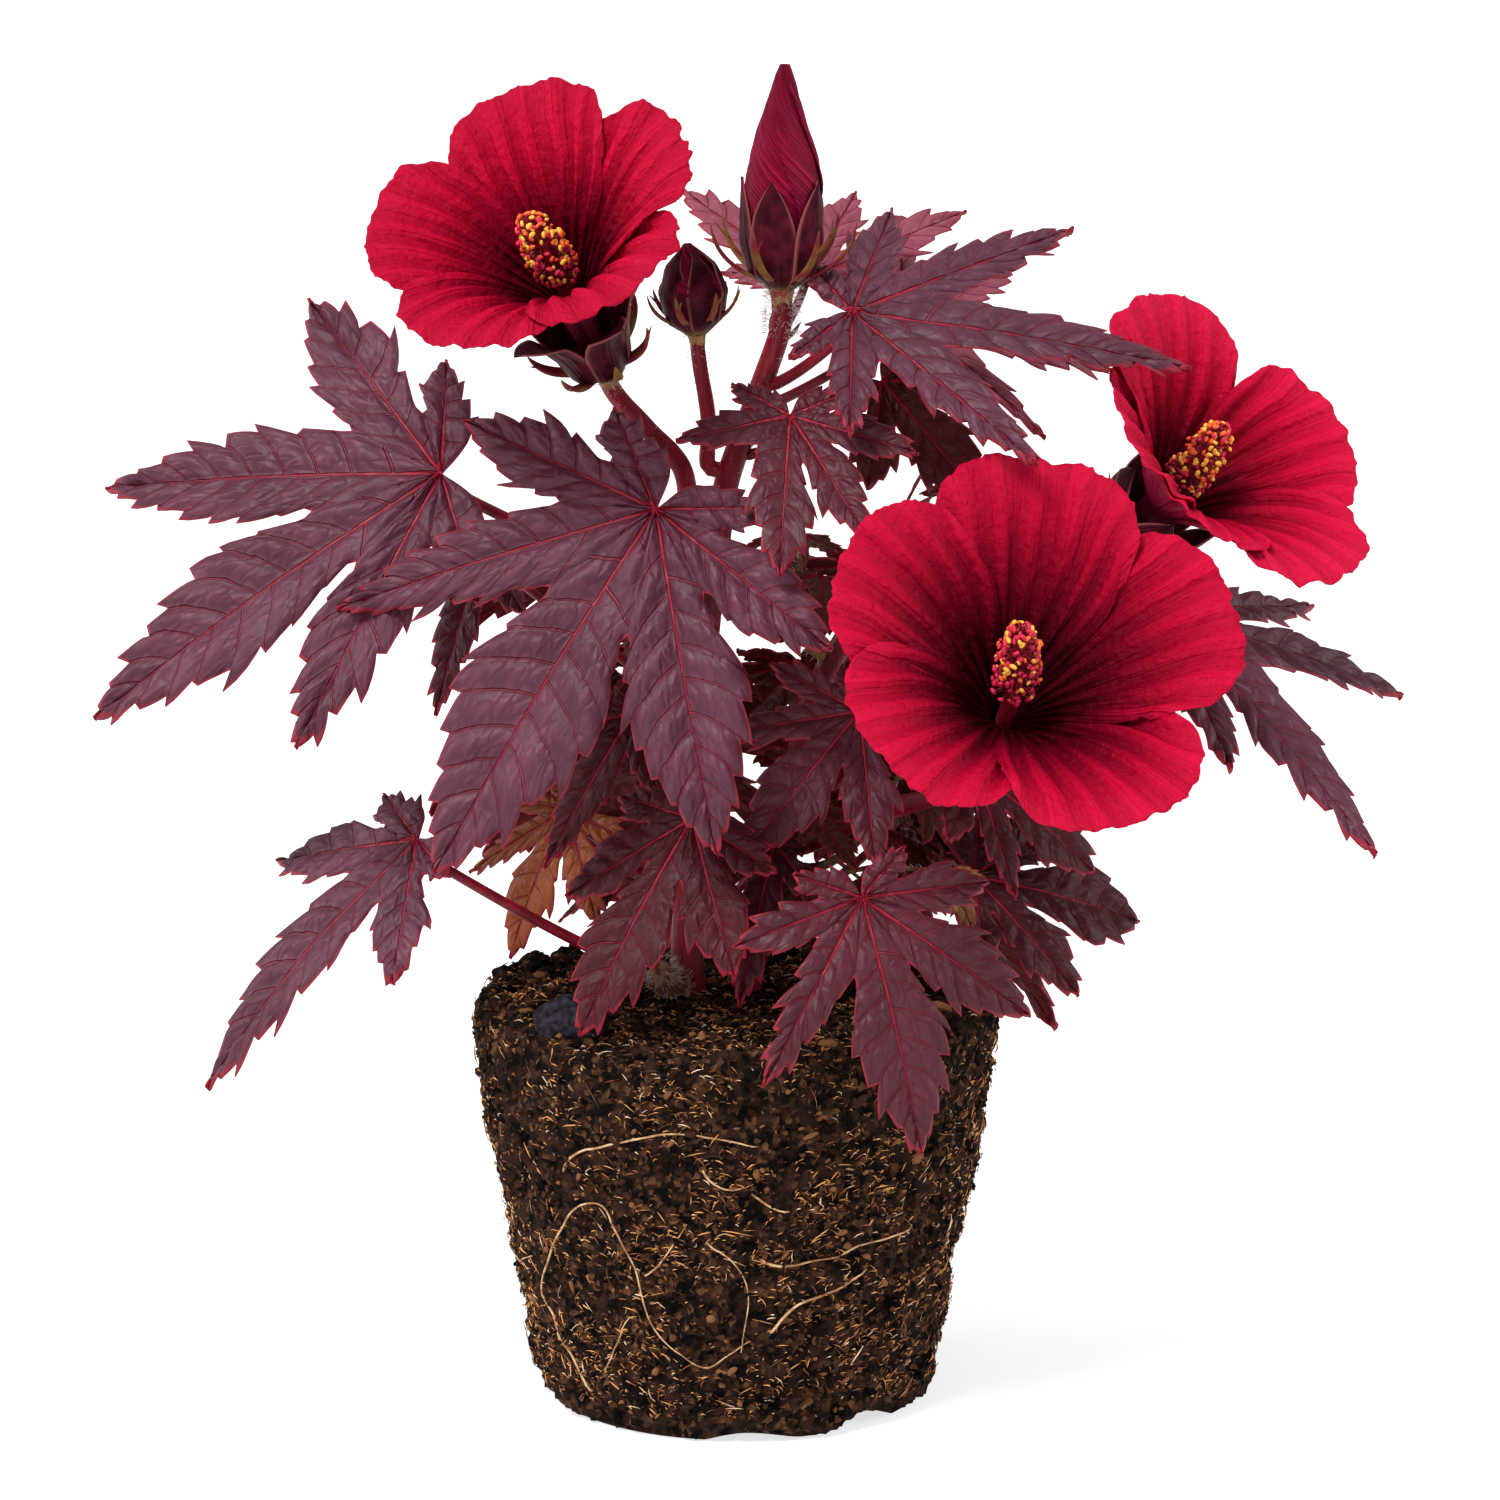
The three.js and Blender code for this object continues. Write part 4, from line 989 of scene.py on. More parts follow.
shoots = bmesh.new()
hair_roots = []
for name, (limb, at, heads, reach, count, size, seed) in TUFTS.items():
    heading = direction(*heads)
    start, out = seat_on(LIMBS[limb], at, LIMBS[limb]["line"].at(at) + heading * reach)
    end = start + heading * reach
    line = Line([start - out * 1.5, *bent_over(start, start + out * reach * 0.4, end, 40)])
    tube(shoots, line, lambda share: 1.5 - 0.6 * share, 10, 24)
    hair_roots += furred(line, 1.5, 60, 0.05)
    rows = shoot_leaves(limb, line, start.lerp(end, 0.65), reach * 0.55 + size, count, size, seeded(seed))
    sheet = mapped_sheet("leaf_map", "edge_map")
    for row in rows:
        leaf_blade(sheet, row)
        stem = Line([row["node"], row["foot"] + leaf_axes(row)[1] * 1.2])
        tube(shoots, stem, lambda share: 0.6 - 0.1 * share, 6, 4)
        hair_roots += furred(stem, 0.6, 16, 0.1)
    piece = finish_piece(sheet, name + "_leaves", tones["young"], [name], closed=False)
    thicken(piece, YOUNG_THICKNESS)

olive_leaf = dict(foot=OLIVE_FOOT, faces=(12, 40), heading=14, length=18, droop=0.1,
                  lobes="young", teeth=5, wedge_rows=4, columns=5, cut=1)
sheet = mapped_sheet("leaf_map", "edge_map")
leaf_blade(sheet, olive_leaf)
olive_piece = finish_piece(sheet, "leaf_olive_young", tones["olive"], closed=False)
thicken(olive_piece, YOUNG_THICKNESS)
node = LIMBS["right_stem"]["line"].at(0.3)
olive_stalk = Line([node, node.lerp(Vector(OLIVE_FOOT), 0.6) + Vector((0, 0, 3)), OLIVE_FOOT])
tube(shoots, olive_stalk, lambda share: 0.8 - 0.2 * share, 8, 16)
hair_roots += furred(olive_stalk, 0.7, 60, 0.1)
shoot_skin = mottled_skin("shoot_skin", 150, (98, 40, 44), (126, 98, 60), 0.4, 0.6, roughness=0.6,
                          shine=0.2)
finish_piece(shoots, "shoot_twigs", shoot_skin)

# Woolly stub
# The stub of an old side shoot at the foot of the main stem, tan and thick with pale wool. It is
# an uneven closed tube, and its wool is among the hairs.
stub = bmesh.new()
stub_line = Line([(-15, -8, 112), (-18.5, -12.5, 115), (-20.5, -15, 120)])
tube(stub, stub_line, lambda share: 4.6 - 2.4 * share ** 2, 20, 24,
     lambda share, turn: 1.1 * noise.noise(Vector((math.cos(turn), math.sin(turn), share * 3)) * 1.9))
stub_skin = mottled_skin("stub_skin", 320, (104, 62, 50), (168, 126, 104), 0.4, 0.6, roughness=0.8,
                         shine=0.05)
finish_piece(stub, "woolly_stub", stub_skin)
hair_roots += furred(stub_line, 3.6, 380)

# Stipules
# A pair of small narrow pointed leaves where each leaf stalk meets its limb. Each is a closed tube
# that is flattened and runs out to a point.
stipules = bmesh.new()
for start, out, heading in stalk_feet:
    aside = heading.cross(out)
    for side in (-1, 1):
        foot = start + aside * side * 1.6 - out * 0.8
        bend = foot + (out * 0.5 + aside * side * 0.7 + heading) * 2.2
        tip = foot + (out * 1.3 + aside * side * 0.9 + heading * 2.2) * 2.6
        stipule = Line(interpolate_bezier(foot, foot.lerp(bend, 0.6), bend, tip, 10))
        tube(stipules, stipule, lambda share: 0.12 + 1.3 * (share + 0.25) * (1 - share), 8, 8,
             lambda share, turn: -0.9 * (share + 0.25) * (1 - share) * math.sin(turn) ** 2, aside)
stipule_skin = mottled_skin("stipule_skin", 200, (96, 30, 30), (122, 88, 44), 0.4, 0.6, roughness=0.6,
                            shine=0.14)
finish_piece(stipules, "stipules", stipule_skin)

# Petals
# Five broad soft crimson petals to a bloom, each lying over the next in a turn, pleated along
# veins that fan out from a near-black throat, with a ruffled rim.
PETALS = 5
FIFTH = 72
PETAL_COLUMNS = 84
PETAL_ROWS = 50
CLAW_SHARE = 0.12
CLAW_RADIUS = 2.4
THROAT_RADIUS = 4.5
PETAL_THICKNESS = 0.35
PLEATS = 7
ARCH = 0.94 * math.pi / 2

# How far each kind of relief lifts a petal, in mm
PLEAT = 1.35
FINE_PLEAT = 0.42
RIM_RUFFLE = 2
RIM_CRINKLE = 0.5
LAP = 1.1
CUP = 1.6

# How far each petal is shifted round, half its turn, and which way it lies over the next one
PETAL_SETS = {
    "bloom_left": ((2, 7, 8, 0, 0), (51,) * 5, 1),
    "bloom_front": ((-12, -16, -23, -17, -9), (51,) * 5, 1),
    "bloom_right": ((20, 17, -5, -17, -12), (66, 54, 54, 54, 57), -1),
}


def spread_grid(bm, columns, rows):
    """A grid's corners, each with its place from -1 to 1 across and from 0 to 1 along."""
    grid = bmesh.ops.create_grid(bm, x_segments=columns, y_segments=rows, size=1, calc_uvs=True)
    return [(corner, corner.co.x, (corner.co.y + 1) / 2) for corner in grid["verts"]]


def petal(bm, bloom, own, across, over, shift, widest, lap):
    """One petal, as a grid spread from its narrow claw under the throat to its rim."""
    uv = bm.loops.layers.uv["petal_map"]
    throat, axis = Vector(bloom["throat"]), bloom["axis"]
    seed = Vector((own * 3.7, bloom["rim"], bloom["turn"]))
    claw_length = (throat - bloom["foot"]).length * 0.85

    def waves(side, share, layer):
        """Noise over the petal, with a layer for each kind of wave."""
        return noise.noise(Vector((side, share, layer)) + seed)

    fans = {}
    for corner, side, spread in spread_grid(bm, PETAL_COLUMNS, PETAL_ROWS):
        share = max(0, spread - CLAW_SHARE) / (1 - CLAW_SHARE)
        claw = max(0, CLAW_SHARE - spread) / CLAW_SHARE
        rounding = 0.4 * abs(side) ** 3.8 + 0.02 * waves(side * 5, 0, 0)
        notch = 0.05 * abs(waves(side * 6, 2, 0)) + 0.02 * abs(waves(side * 15, 4, 0))
        reach = share * bloom["petals"][own] * (1 - (rounding + notch) * share ** 1.5)
        half_turn = math.radians(widest) * (0.86 + 0.14 * math.sin(math.pi * min(share * 1.3, 1)))
        turn = math.radians(FIFTH * own + shift) + side * half_turn
        radius = THROAT_RADIUS + (bloom["rim"] - THROAT_RADIUS) * reach ** 1.08
        radius += (CLAW_RADIUS - THROAT_RADIUS) * claw
        bend = min(reach, 1.06) * ARCH
        rise = bloom["depth"] * math.sin(bend) - claw_length * claw
        fans[corner] = side * PLEATS + 0.5 * waves(side * 3, share, 0)
        lift = PLEAT * math.cos(math.pi * fans[corner]) * min(1, share * 2.2) * (1 - 0.6 * share)
        lift += FINE_PLEAT * share * waves(side * 24, share * 7, 3)
        lift += RIM_RUFFLE * share ** 4 * waves(side * 3.4, share * 0.6, 5)
        lift += RIM_CRINKLE * share ** 6 * waves(side * 16, share * 4, 9)
        lift -= LAP * lap * side * min(1, share * 3) + CUP * share * (1 - share) * (1 - side * side)
        flat = across * math.cos(turn) + over * math.sin(turn)
        away = (axis - flat * math.cos(bend) * 0.8).normalized()
        corner.co = throat + flat * radius + axis * rise + away * lift
    faces = {face for corner in fans for face in corner.link_faces}
    for loop in (loop for face in faces for loop in face.loops):
        share = (loop[uv].uv.y - CLAW_SHARE) / (1 - CLAW_SHARE)
        loop[uv].uv = (fans[loop.vert] + own * 4 * PLEATS, share * bloom["petals"][own])
    bmesh.ops.reverse_faces(bm, faces=list(faces))


def petal_material(name, stops, streak_and_furrow_shade):
    """A soft petal skin whose colour deepens to the throat and along its veins, partly as painted shade.
    """
    material, tree, shader, place = new_material(name, roughness=0.5, shine=0.045,
                                                 subsurface_weight=0.25, subsurface_scale=0.0014)
    petal_map = shader_node(tree, "ShaderNodeUVMap", uv_map="petal_map").outputs[0]
    spread = shader_node(tree, "ShaderNodeSeparateXYZ", {0: petal_map}).outputs
    streaks = noise_of(tree, petal_map, 1.6, 3, (1, 0.7, 1))
    drift = maths(tree, "MULTIPLY_ADD", streaks, 0.36, -0.18)
    fade = shader_node(tree, "ShaderNodeValToRGB", {0: maths(tree, "ADD", drift, spread[1])})
    while len(fade.color_ramp.elements) < len(stops):
        fade.color_ramp.elements.new(0.5)
    for element, (position, tint) in zip(fade.color_ramp.elements, stops):
        element.position, element.color = position, colour(*tint)
    # Lines of vein colour down the pleats' furrows: partly the petal's veins, partly painted shade.
    from_furrow = maths(tree, "SUBTRACT", 1, maths(tree, "PINGPONG", spread[0], 1))
    furrow = faded(tree, from_furrow, 0, 0.75)
    fine_veins = faded(tree, noise_of(tree, petal_map, 5, 3, (1, 0.16, 1)), 0.3, 0.72)
    near_rim = faded(tree, spread[1], 0.3, 0.95)
    clear = maths(tree, "MULTIPLY_ADD", near_rim, 0.52, 0.3)
    vein_and_furrow_shade = colour(*streak_and_furrow_shade)
    lined = blended(tree, maths(tree, "MAXIMUM", furrow, clear), vein_and_furrow_shade, fade.outputs["Color"])
    lined = blended(tree, maths(tree, "MULTIPLY_ADD", fine_veins, 0.16, 0.84), vein_and_furrow_shade, lined)
    tree.links.new(lined, shader.inputs["Base Color"])
    crinkles = noise_of(tree, place, 420, 3)
    relief = maths(tree, "MULTIPLY_ADD", crinkles, 1.6, maths(tree, "MULTIPLY", fine_veins, 0.4))
    bumped(tree, shader, relief, 0.0009)
    return material


# Colours at their shares of the way from the throat to the rim, and the colour of the veins
# The dark toward the throat is the petals' dark eye, deepened over the funnel with painted shade.
PETAL_COLOURS = {
    "dark_heart": (((0.1, (10, 0, 3)), (0.28, (40, 0, 8)), (0.48, (116, 0, 26)),
                    (0.72, (168, 2, 42)), (1, (188, 12, 54))), (84, 0, 16)),
    "small_heart": (((0.08, (12, 0, 3)), (0.24, (44, 0, 9)), (0.42, (130, 0, 29)),
                     (0.62, (178, 5, 46)), (1, (168, 9, 47))), (112, 0, 24)),
    "lit_face": (((0.09, (12, 0, 3)), (0.25, (60, 0, 12)), (0.43, (146, 0, 32)),
                     (0.64, (184, 6, 50)), (1, (198, 18, 62))), (116, 0, 25)),
    # The back is painted lighter, partly for light that shines through the petal onto its shaded outside.
    "back": (((0.02, (150, 44, 80)), (0.2, (200, 40, 96)), (0.45, (214, 26, 84)),
              (0.7, (212, 18, 72)), (1, (206, 16, 66))), (120, 8, 40)),
}
# The faces are partly lit and shaded copies of one colour: bloom_right's is painted lighter for its light.
PETAL_FACES = {"bloom_left": "small_heart", "bloom_front": "dark_heart", "bloom_right": "lit_face"}
petal_skins = {key: petal_material("petal_" + key, *row) for key, row in PETAL_COLOURS.items()}

for name, bloom in blooms.items():
    across = across_of(bloom["axis"], bloom["turn"])
    over = bloom["axis"].cross(across)
    sheet = mapped_sheet("petal_map")
    shifts, half_turns, lap = PETAL_SETS[name]
    for own, (shift, widest) in enumerate(zip(shifts, half_turns)):
        petal(sheet, bloom, own, across, over, shift, widest, lap)
    face = petal_skins[PETAL_FACES[name]]
    piece = finish_piece(sheet, name + "_petals", face, [name], closed=False)
    thicken(piece, PETAL_THICKNESS, petal_skins["back"])

# Columns and anthers
# The stamens are joined in one red column that bends up out of the throat and carries, all round
# its outer part, short threads that each end in a yellow, orange or magenta anther.
ANTHERS = 200
COLUMN_RADIUS = 2.7
COLUMN_DEPTH = 14

# Each kind's colour, and its part of the anthers where they are ripe
ANTHER_COLOURS = {
    "yellow": ((250, 182, 60), 0.34),
    "orange": ((236, 96, 34), 0.3),
    "magenta": ((204, 16, 64), 0.36),
}

# How ripe each bloom's anthers are, and which way and how far its column bends
RIPENESS = {"bloom_left": 1.4, "bloom_front": 0.7, "bloom_right": 1.4}
COLUMN_BENDS = {"bloom_left": (60, 3), "bloom_front": (30, 6), "bloom_right": (10, 4)}
column_skin = mottled_skin("column_skin", 500, (96, 0, 18), (160, 6, 38), roughness=0.5,
                           subsurface_weight=0.1, subsurface_scale=0.002)

chance = np.random.default_rng(17)
columns, threads = bmesh.new(), bmesh.new()
anther_frames = {key: [] for key in ANTHER_COLOURS}
for name, bloom in blooms.items():
    throat, axis = Vector(bloom["throat"]), bloom["axis"]
    aside, how_far = COLUMN_BENDS[name]
    bend = across_of(axis, aside) * how_far
    tip = throat + axis * bloom["column"] + bend
    middle = throat + axis * bloom["column"] * 0.5 + bend * 0.3
    line = smooth_line([throat - axis * COLUMN_DEPTH, throat - axis * 3, middle, tip])
    tube(columns, line, lambda share: COLUMN_RADIUS - share - 9 * max(0, share - 0.9), 16, 40)
    for i in range(ANTHERS):
        share = 0.52 + 0.48 * ((i + chance.random()) / ANTHERS) ** 0.9
        heading = line.heading(min(share, 0.99))
        lean = 0.15 + 1.5 * max(0, share - 0.85) / 0.15
        out = across_of(heading, GOLDEN_TURN * i + chance.normal(0, 14)) + heading * lean * 0.6
        out = (out + Vector(chance.normal(0, 0.16, 3))).normalized()
        start = line.at(share) + out * 0.8
        full = math.sin(math.pi * min(1, (share - 0.5) / 0.5 * 0.8 + 0.2)) ** 0.4
        end = start + out * (1.5 + 3.9 * full * chance.uniform(0.6, 1.08))
        tube(threads, Line([start, end]), lambda share: 0.24 - 0.06 * share, 4, 1)
        ripe = min(1, max(0, (share - 0.55) * 3)) * RIPENESS[name]
        odds = np.array([part * (1 if key == "magenta" else ripe)
                         for key, (_, part) in ANTHER_COLOURS.items()])
        key = chance.choice(list(ANTHER_COLOURS), p=odds / odds.sum())
        size = chance.uniform(0.5, 0.82)
        side = around(out, chance.uniform(0, ANY_TURN))
        lean = (out + Vector(chance.normal(0, 0.5, 3))).normalized()
        anther_frames[key].append(frame_along(end, side, lean, (size * 1.3, size * 0.85, size * 0.9)))
finish_piece(columns, "bloom_columns", column_skin)
finish_piece(threads, "bloom_anther_threads", column_skin)


def anther_shape(bm):
    """A kidney-shaped anther, notched on its inner side."""
    bmesh.ops.create_icosphere(bm, subdivisions=2, radius=1)
    for vert in bm.verts:
        vert.co.z -= 0.35 * math.exp(-6 * vert.co.x ** 2) * (1 if vert.co.z > 0 else -0.6)


anther = shape_of(anther_shape)
for key, (tint, _) in ANTHER_COLOURS.items():
    pollen, tree, shader, place = new_material("anther_" + key, base_color=colour(*tint), roughness=0.6,
                                               subsurface_weight=0.1, subsurface_scale=0.001)
    bumped(tree, shader, noise_of(tree, place, 3000), 0.0002)
    scatter("bloom_anthers_" + key, anther, anther_frames[key], pollen)

# Calyx and bracts
# Under each bloom and round each bud stands a leathery cup of five pointed, ribbed sepals, dark
# maroon with a tan foot, and under that a ring of narrow bracts that curve out and up.
SEPAL_COLUMNS = 16
SEPAL_ROWS = 26
JOINED = 0.42
SEPAL_HALF_TURN = 38
SEPAL_THICKNESS = 0.5


def sepal(bm, held, own, across, over, sizes):
    """One sepal of a calyx, from the foot that it shares with the others to its point."""
    radius = sizes["radius"]
    swell = (2.4, radius * 0.84, radius * 1.04, radius * sizes["belly"], radius + sizes["spread"])
    for corner, side, share in spread_grid(bm, SEPAL_COLUMNS, SEPAL_ROWS):
        free = max(0, share - JOINED) / (1 - JOINED)
        half_turn = math.radians(SEPAL_HALF_TURN) * (1 - free ** 1.9)
        away = np.interp(share, (0, 0.16, 0.45, 0.76, 1), swell)
        away += 0.6 * (1 - abs(side)) ** 3 * math.sin(math.pi * share) - 0.3 * abs(side) ** 2
        away += 0.3 * noise.noise(Vector((side * 2, share * 6, own)))
        turn = math.radians(FIFTH * own) + side * half_turn
        flat = across * math.cos(turn) + over * math.sin(turn)
        corner.co = held["foot"] + held["axis"] * sizes["height"] * share + flat * (away - 0.25 * side)


def bract(bm, start, out, axis, length, width):
    """A narrow flat bract that curves out and up, and whose tip may fork."""
    tip = start + out * length * 0.72 + axis * length * 0.66
    bend = start + out * length * 0.66 + axis * length * 0.16
    line = Line(bent_over(start, bend, tip, 20))
    side = axis.cross(out).normalized()

    def half(share):
        """Half the bract's width, widest a third of the way along."""
        return width * (0.55 + 1.6 * share) * (1 - share) ** 0.8 + 0.14

    def flatness(share, turn):
        """What is taken off the section to leave it thin."""
        return -0.84 * half(share) * math.sin(turn) ** 2

    tube(bm, line, half, 10, 18, flatness, side)
    fork = line.at(0.74)
    prong = Line([fork, fork + (line.heading(0.74) + side * 0.55) * length * 0.2])
    tube(bm, prong, lambda share: 0.5 * (1 - share) + 0.08, 6, 4)


sepal_skin, tree, shader, place = new_material("sepal_skin", roughness=0.5, shine=0.06)
sepal_map = shader_node(tree, "ShaderNodeUVMap", uv_map="sepal_map").outputs[0]
spread = shader_node(tree, "ShaderNodeSeparateXYZ", {0: sepal_map}).outputs
tint = mottled(tree, place, 220, (45, 3, 15), (80, 15, 32), detail=4)["Color"]
edge = faded(tree, maths(tree, "ABSOLUTE", maths(tree, "SUBTRACT", spread[0], 0.5)), 0.4, 0.5)
tint = blended(tree, maths(tree, "MULTIPLY", edge, 0.5), tint, colour(168, 96, 92))
foot = maths(tree, "SUBTRACT", 1, faded(tree, spread[1], 0.01, 0.1))
tint = blended(tree, maths(tree, "MULTIPLY", foot, 0.6), tint, colour(134, 110, 62))
tree.links.new(tint, shader.inputs["Base Color"])
ribbing = noise_of(tree, sepal_map, 9, 2, (1, 0.12, 1))
bumped(tree, shader, ribbing, 0.0009)
bract_skin = mottled_skin("bract_skin", 120, (112, 30, 38), (120, 84, 44), 0.4, 0.62, roughness=0.55,
                          shine=0.06)

# What each calyx holds, its radius, height, belly and spread, and its bracts' length and breadth
calyxes = {name: dict(held=bloom, radius=10.6, height=33, belly=1.4, spread=14, turn=bloom["turn"],
                      bracts=21, bract_turn=bloom["turn"], broad=2.3) for name, bloom in blooms.items()}
calyxes["bloom_right"]["spread"] = 5
calyxes["bud_tall"] = dict(held=buds["bud_tall"], radius=10.3, height=30, belly=1.04, spread=0.6, turn=0,
                           bracts=25, bract_turn=34, broad=1.5)
calyxes["bud_small"] = dict(held=buds["bud_small"], radius=8.6, height=24, belly=0.78, spread=-7.8, turn=0,
                            bracts=15, bract_turn=34, broad=1.3)
BRACTS = 7
bracts = bmesh.new()
for name, sizes in calyxes.items():
    held = sizes["held"]
    axis = held["axis"]
    across = across_of(axis, sizes["turn"])
    cup = mapped_sheet("sepal_map")
    for own in range(PETALS):
        sepal(cup, held, own, across, axis.cross(across), sizes)
    bmesh.ops.remove_doubles(cup, verts=cup.verts, dist=0.05)
    piece = finish_piece(cup, name + "_calyx", sepal_skin, closed=False)
    thicken(piece, SEPAL_THICKNESS)
    across = across_of(axis, sizes["bract_turn"])
    for i in range(BRACTS):
        out = Matrix.Rotation(2 * math.pi * i / BRACTS, 3, axis) @ across
        bract(bracts, held["foot"] + axis * 2.2 + out * 1.4, out, axis, sizes["bracts"], sizes["broad"])
    hair_roots += furred(Line([held["foot"] - axis * 6, held["foot"] + axis * 5]), 2.9, 90)
finish_piece(bracts, "bracts", bract_skin)

# Furled buds
# A tall pointed bud and a small round one: petals rolled round each other in a turn, so that each
# one's edge runs up the bud as a slanting line, with wrinkles beside it.
FURL_TWIST = -115
FURL_HALF_TURN = 62
FURLED_THICKNESS = 0.3

# Shares of a bud's length, each with how wide the bud is there over its radius
BUD_SWELL = ((0, 0.28), (0.15, 0.8), (0.3, 1), (0.46, 1.12), (0.6, 0.96), (0.71, 0.74),
             (0.85, 0.44), (0.96, 0.29), (1, 0.2))


def furled_petal(bm, bud, own, across, over):
    """One rolled petal, from inside the calyx to the bud's point."""
    uv = bm.loops.layers.uv["petal_map"]
    corners = spread_grid(bm, 30, 60)
    for corner, side, share in corners:
        radius = (bud["radius"] - 0.6) * np.interp(share, *zip(*BUD_SWELL)) - 0.5
        turn = math.radians(FIFTH * own + FURL_TWIST * share + FURL_HALF_TURN * side)
        fold = side * 1.2 + 2.4 * share
        wrinkle = 0.45 * noise.noise(Vector((fold * 5, share * 2, own))) * min(1, share * 2)
        lapped = (-0.7 * side + 0.35) * min(1, (1 - share) * 6)
        flat = across * math.cos(turn) + over * math.sin(turn)
        corner.co = (bud["foot"] + bud["axis"] * (1 + (bud["length"] - 1) * share)
                     + flat * max(0.2, radius + (lapped + wrinkle * min(1, radius / 4))))
    faces = {face for corner, _, _ in corners for face in corner.link_faces}
    for loop in (loop for face in faces for loop in face.loops):
        side, share = loop[uv].uv
        loop[uv].uv = (side * 6 + 12 * share + own, share)


furled_skin, tree, shader, _ = new_material("furled_skin", roughness=0.5, shine=0.08)
petal_map = shader_node(tree, "ShaderNodeUVMap", uv_map="petal_map").outputs[0]
# The colour follows the wrinkles' bump: partly the petals' own streaks, partly painted highlight and
# shade.
wrinkles_and_their_shading = faded(tree, noise_of(tree, petal_map, 5, 3, (1, 0.3, 1)), 0.35, 0.7)
tint = blended(tree, wrinkles_and_their_shading, colour(88, 0, 28), colour(168, 16, 64))
tree.links.new(tint, shader.inputs["Base Color"])
bumped(tree, shader, wrinkles_and_their_shading, 0.0006)
for name, bud in buds.items():
    roll = mapped_sheet("petal_map")
    across = across_of(bud["axis"], 0)
    for own in range(PETALS):
        furled_petal(roll, bud, own, across, bud["axis"].cross(across))
    piece = finish_piece(roll, name + "_petals", furled_skin, [name], closed=False)
    thicken(piece, FURLED_THICKNESS)

# Collars
# The swollen dull red and tan ring on top of each flower stalk, from which its calyx grows.
# Each is a closed tube that widens upward.
collars = bmesh.new()
for limb in LIMBS.values():
    if "holds" in limb:
        held = limb["holds"]
        collar = Line([held["foot"] - held["axis"] * 4.5, held["foot"] + held["axis"] * 1.2])
        tube(collars, collar, lambda share: limb["tip"] - 0.15 + 0.95 * share ** 1.5, 20, 10)
collar_skin = mottled_skin("collar_skin", 260, (136, 54, 52), (150, 118, 66), high=0.65, roughness=0.6,
                           shine=0.14)
finish_piece(collars, "stalk_collars", collar_skin)

# Hairs
# Short pale hairs on the young shoots, the stub and three boughs, and thicker under each calyx.
# Each is a three-sided spike, and all of them are one joined piece.
HAIR_WIDTH = 0.075
tall = buds["bud_tall"]
downy = Line([tall["foot"] - tall["axis"] * 12, tall["foot"] + tall["axis"] * 5])
hair_roots += furred(downy, 4.2, 420)
for name in ("bud_bough", "small_bud_bough", "left_bloom_bough"):
    hair_roots += furred(LIMBS[name]["line"], LIMBS[name]["radius_at"](0.5), 60)
frames = []
for line, radius, share in hair_roots:
    out = around(line.heading(share), chance.uniform(0, ANY_TURN))
    lean = (out + line.heading(share) * chance.normal(0, 0.4)).normalized()
    long = radius * 0.4 + chance.uniform(0.5, 2)
    root = line.at(share) + out * radius * 0.95
    frames.append(frame_along(root, lean, line.heading(share), (long, HAIR_WIDTH, HAIR_WIDTH)))


def hair_shape(bm):
    """A three-sided spike of length 1 along X."""
    spike = bmesh.ops.create_cone(bm, cap_ends=True, segments=3, radius1=1, radius2=0.1, depth=1)
    turned = Matrix.Translation((0.5, 0, 0)) @ Matrix.Rotation(math.pi / 2, 4, "Y")
    bmesh.ops.transform(bm, verts=spike["verts"], matrix=turned)


hair = new_material("hair", base_color=colour(232, 214, 208), roughness=0.5)[0]
scatter("hairs", shape_of(hair_shape), frames, hair)

# Floor, light and camera
# The plant stands on a plain near-white floor under large soft lights. The camera stands where
# the photograph's did: level with the front and a little above it.
TARGET = Vector((3.78, 0, 174.33)) * MM
CAMERA_AWAY = 1.6
CAMERA_RISE = 12
FRAME_WIDTH = 0.395
FLOOR_HALF = 40
FLOOR_GREY = 0.42
FLOOR_GLOW = 0.7

# The sky's strength level with the ground and overhead
SKY_LIGHT = (0.06, 0.8)

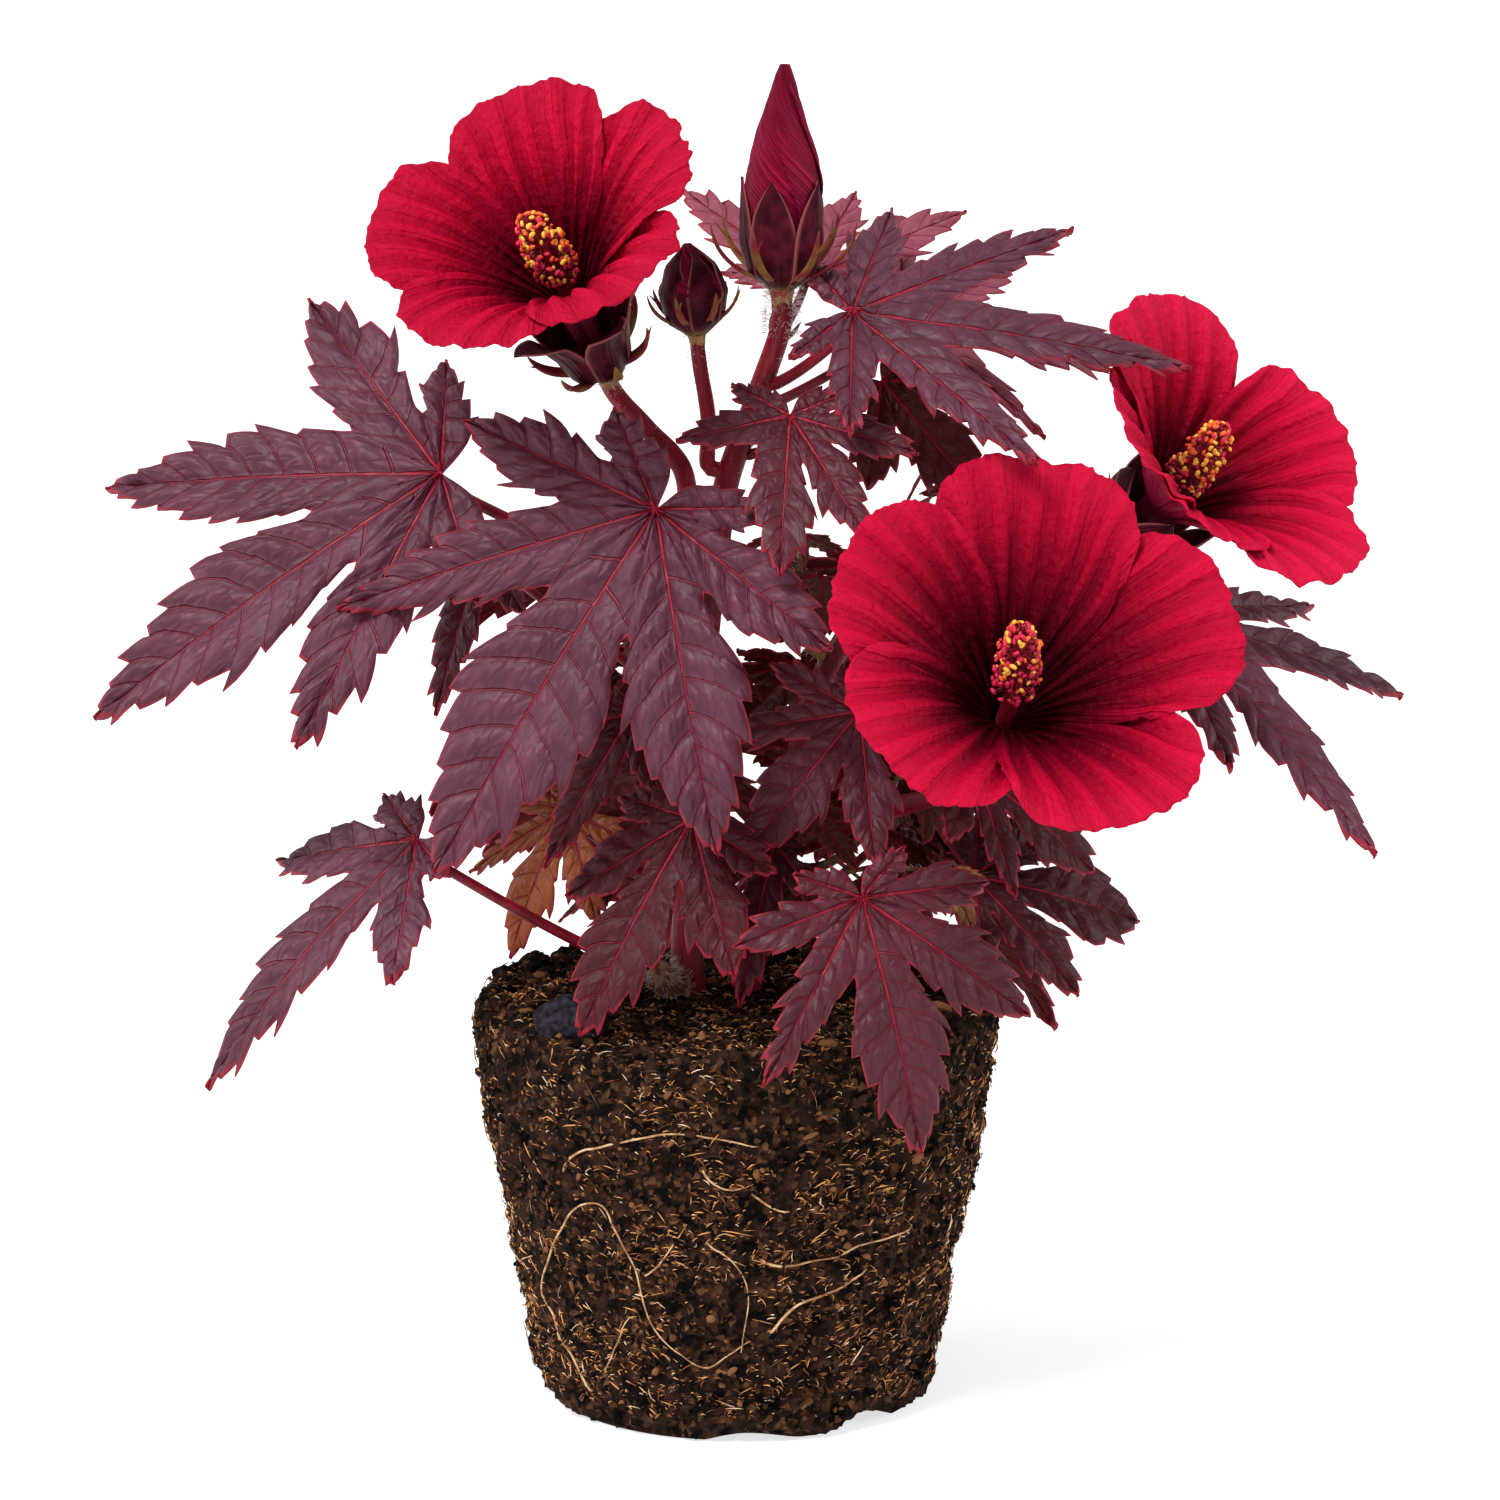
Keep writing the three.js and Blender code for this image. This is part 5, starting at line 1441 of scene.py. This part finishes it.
# Each light's azimuth, elevation and strength, and how many degrees wide it is
LIGHTS = {
    "key": (-34, 54, 2.95, 18),
    "low_front": (-14, 9, 0.7, 30),
    "left_side": (-100, 24, 1.3, 30),
    "right_side": (96, 24, 1.3, 30),
}
floor_bm = bmesh.new()
bmesh.ops.create_grid(floor_bm, x_segments=1, y_segments=1, size=FLOOR_HALF)
floor_mesh = bpy.data.meshes.new("floor")
floor_bm.to_mesh(floor_mesh)
floor_bm.free()
floor = bpy.data.objects.new("floor", floor_mesh)
bpy.context.collection.objects.link(floor)
floor_paint, _, shader, _ = new_material("floor_paint", roughness=0.9, shine=0.1)
shader.inputs["Base Color"].default_value = (FLOOR_GREY, FLOOR_GREY, FLOOR_GREY, 1)
shader.inputs["Emission Color"].default_value = (1, 1, 1, 1)
shader.inputs["Emission Strength"].default_value = FLOOR_GLOW
floor_mesh.materials.append(floor_paint)

world = bpy.data.worlds.new("studio")
bpy.context.scene.world = world
world.use_nodes = True
sky = world.node_tree.nodes["Background"]
sky.inputs["Color"].default_value = (1, 1, 1, 1)
seen = shader_node(world.node_tree, "ShaderNodeLightPath").outputs["Is Camera Ray"]
heading = shader_node(world.node_tree, "ShaderNodeTexCoord").outputs["Generated"]
height = shader_node(world.node_tree, "ShaderNodeSeparateXYZ", {0: heading}).outputs[2]
level, overhead = SKY_LIGHT
rising = maths(world.node_tree, "MULTIPLY_ADD", maths(world.node_tree, "MAXIMUM", height, 0),
               overhead - level, level)
world.node_tree.links.new(maths(world.node_tree, "MAXIMUM", seen, rising), sky.inputs["Strength"])

for name, (azimuth, elevation, strength, spread) in LIGHTS.items():
    light = bpy.data.lights.new(name, "SUN")
    light.energy, light.angle = strength, math.radians(spread)
    lamp = bpy.data.objects.new(name, light)
    lamp.rotation_euler = (-direction(azimuth, elevation)).to_track_quat("-Z", "Y").to_euler()
    bpy.context.collection.objects.link(lamp)

lens = bpy.data.cameras.new("camera")
lens.sensor_width = 36
lens.lens = lens.sensor_width * CAMERA_AWAY / FRAME_WIDTH
lens.clip_start, lens.clip_end = 0.05, 100
camera = bpy.data.objects.new("camera", lens)
camera.location = TARGET + direction(0, CAMERA_RISE) * CAMERA_AWAY
camera.rotation_euler = (TARGET - camera.location).to_track_quat("-Z", "Y").to_euler()
bpy.context.collection.objects.link(camera)
bpy.context.scene.camera = camera
bpy.context.scene.view_settings.view_transform = "Standard"
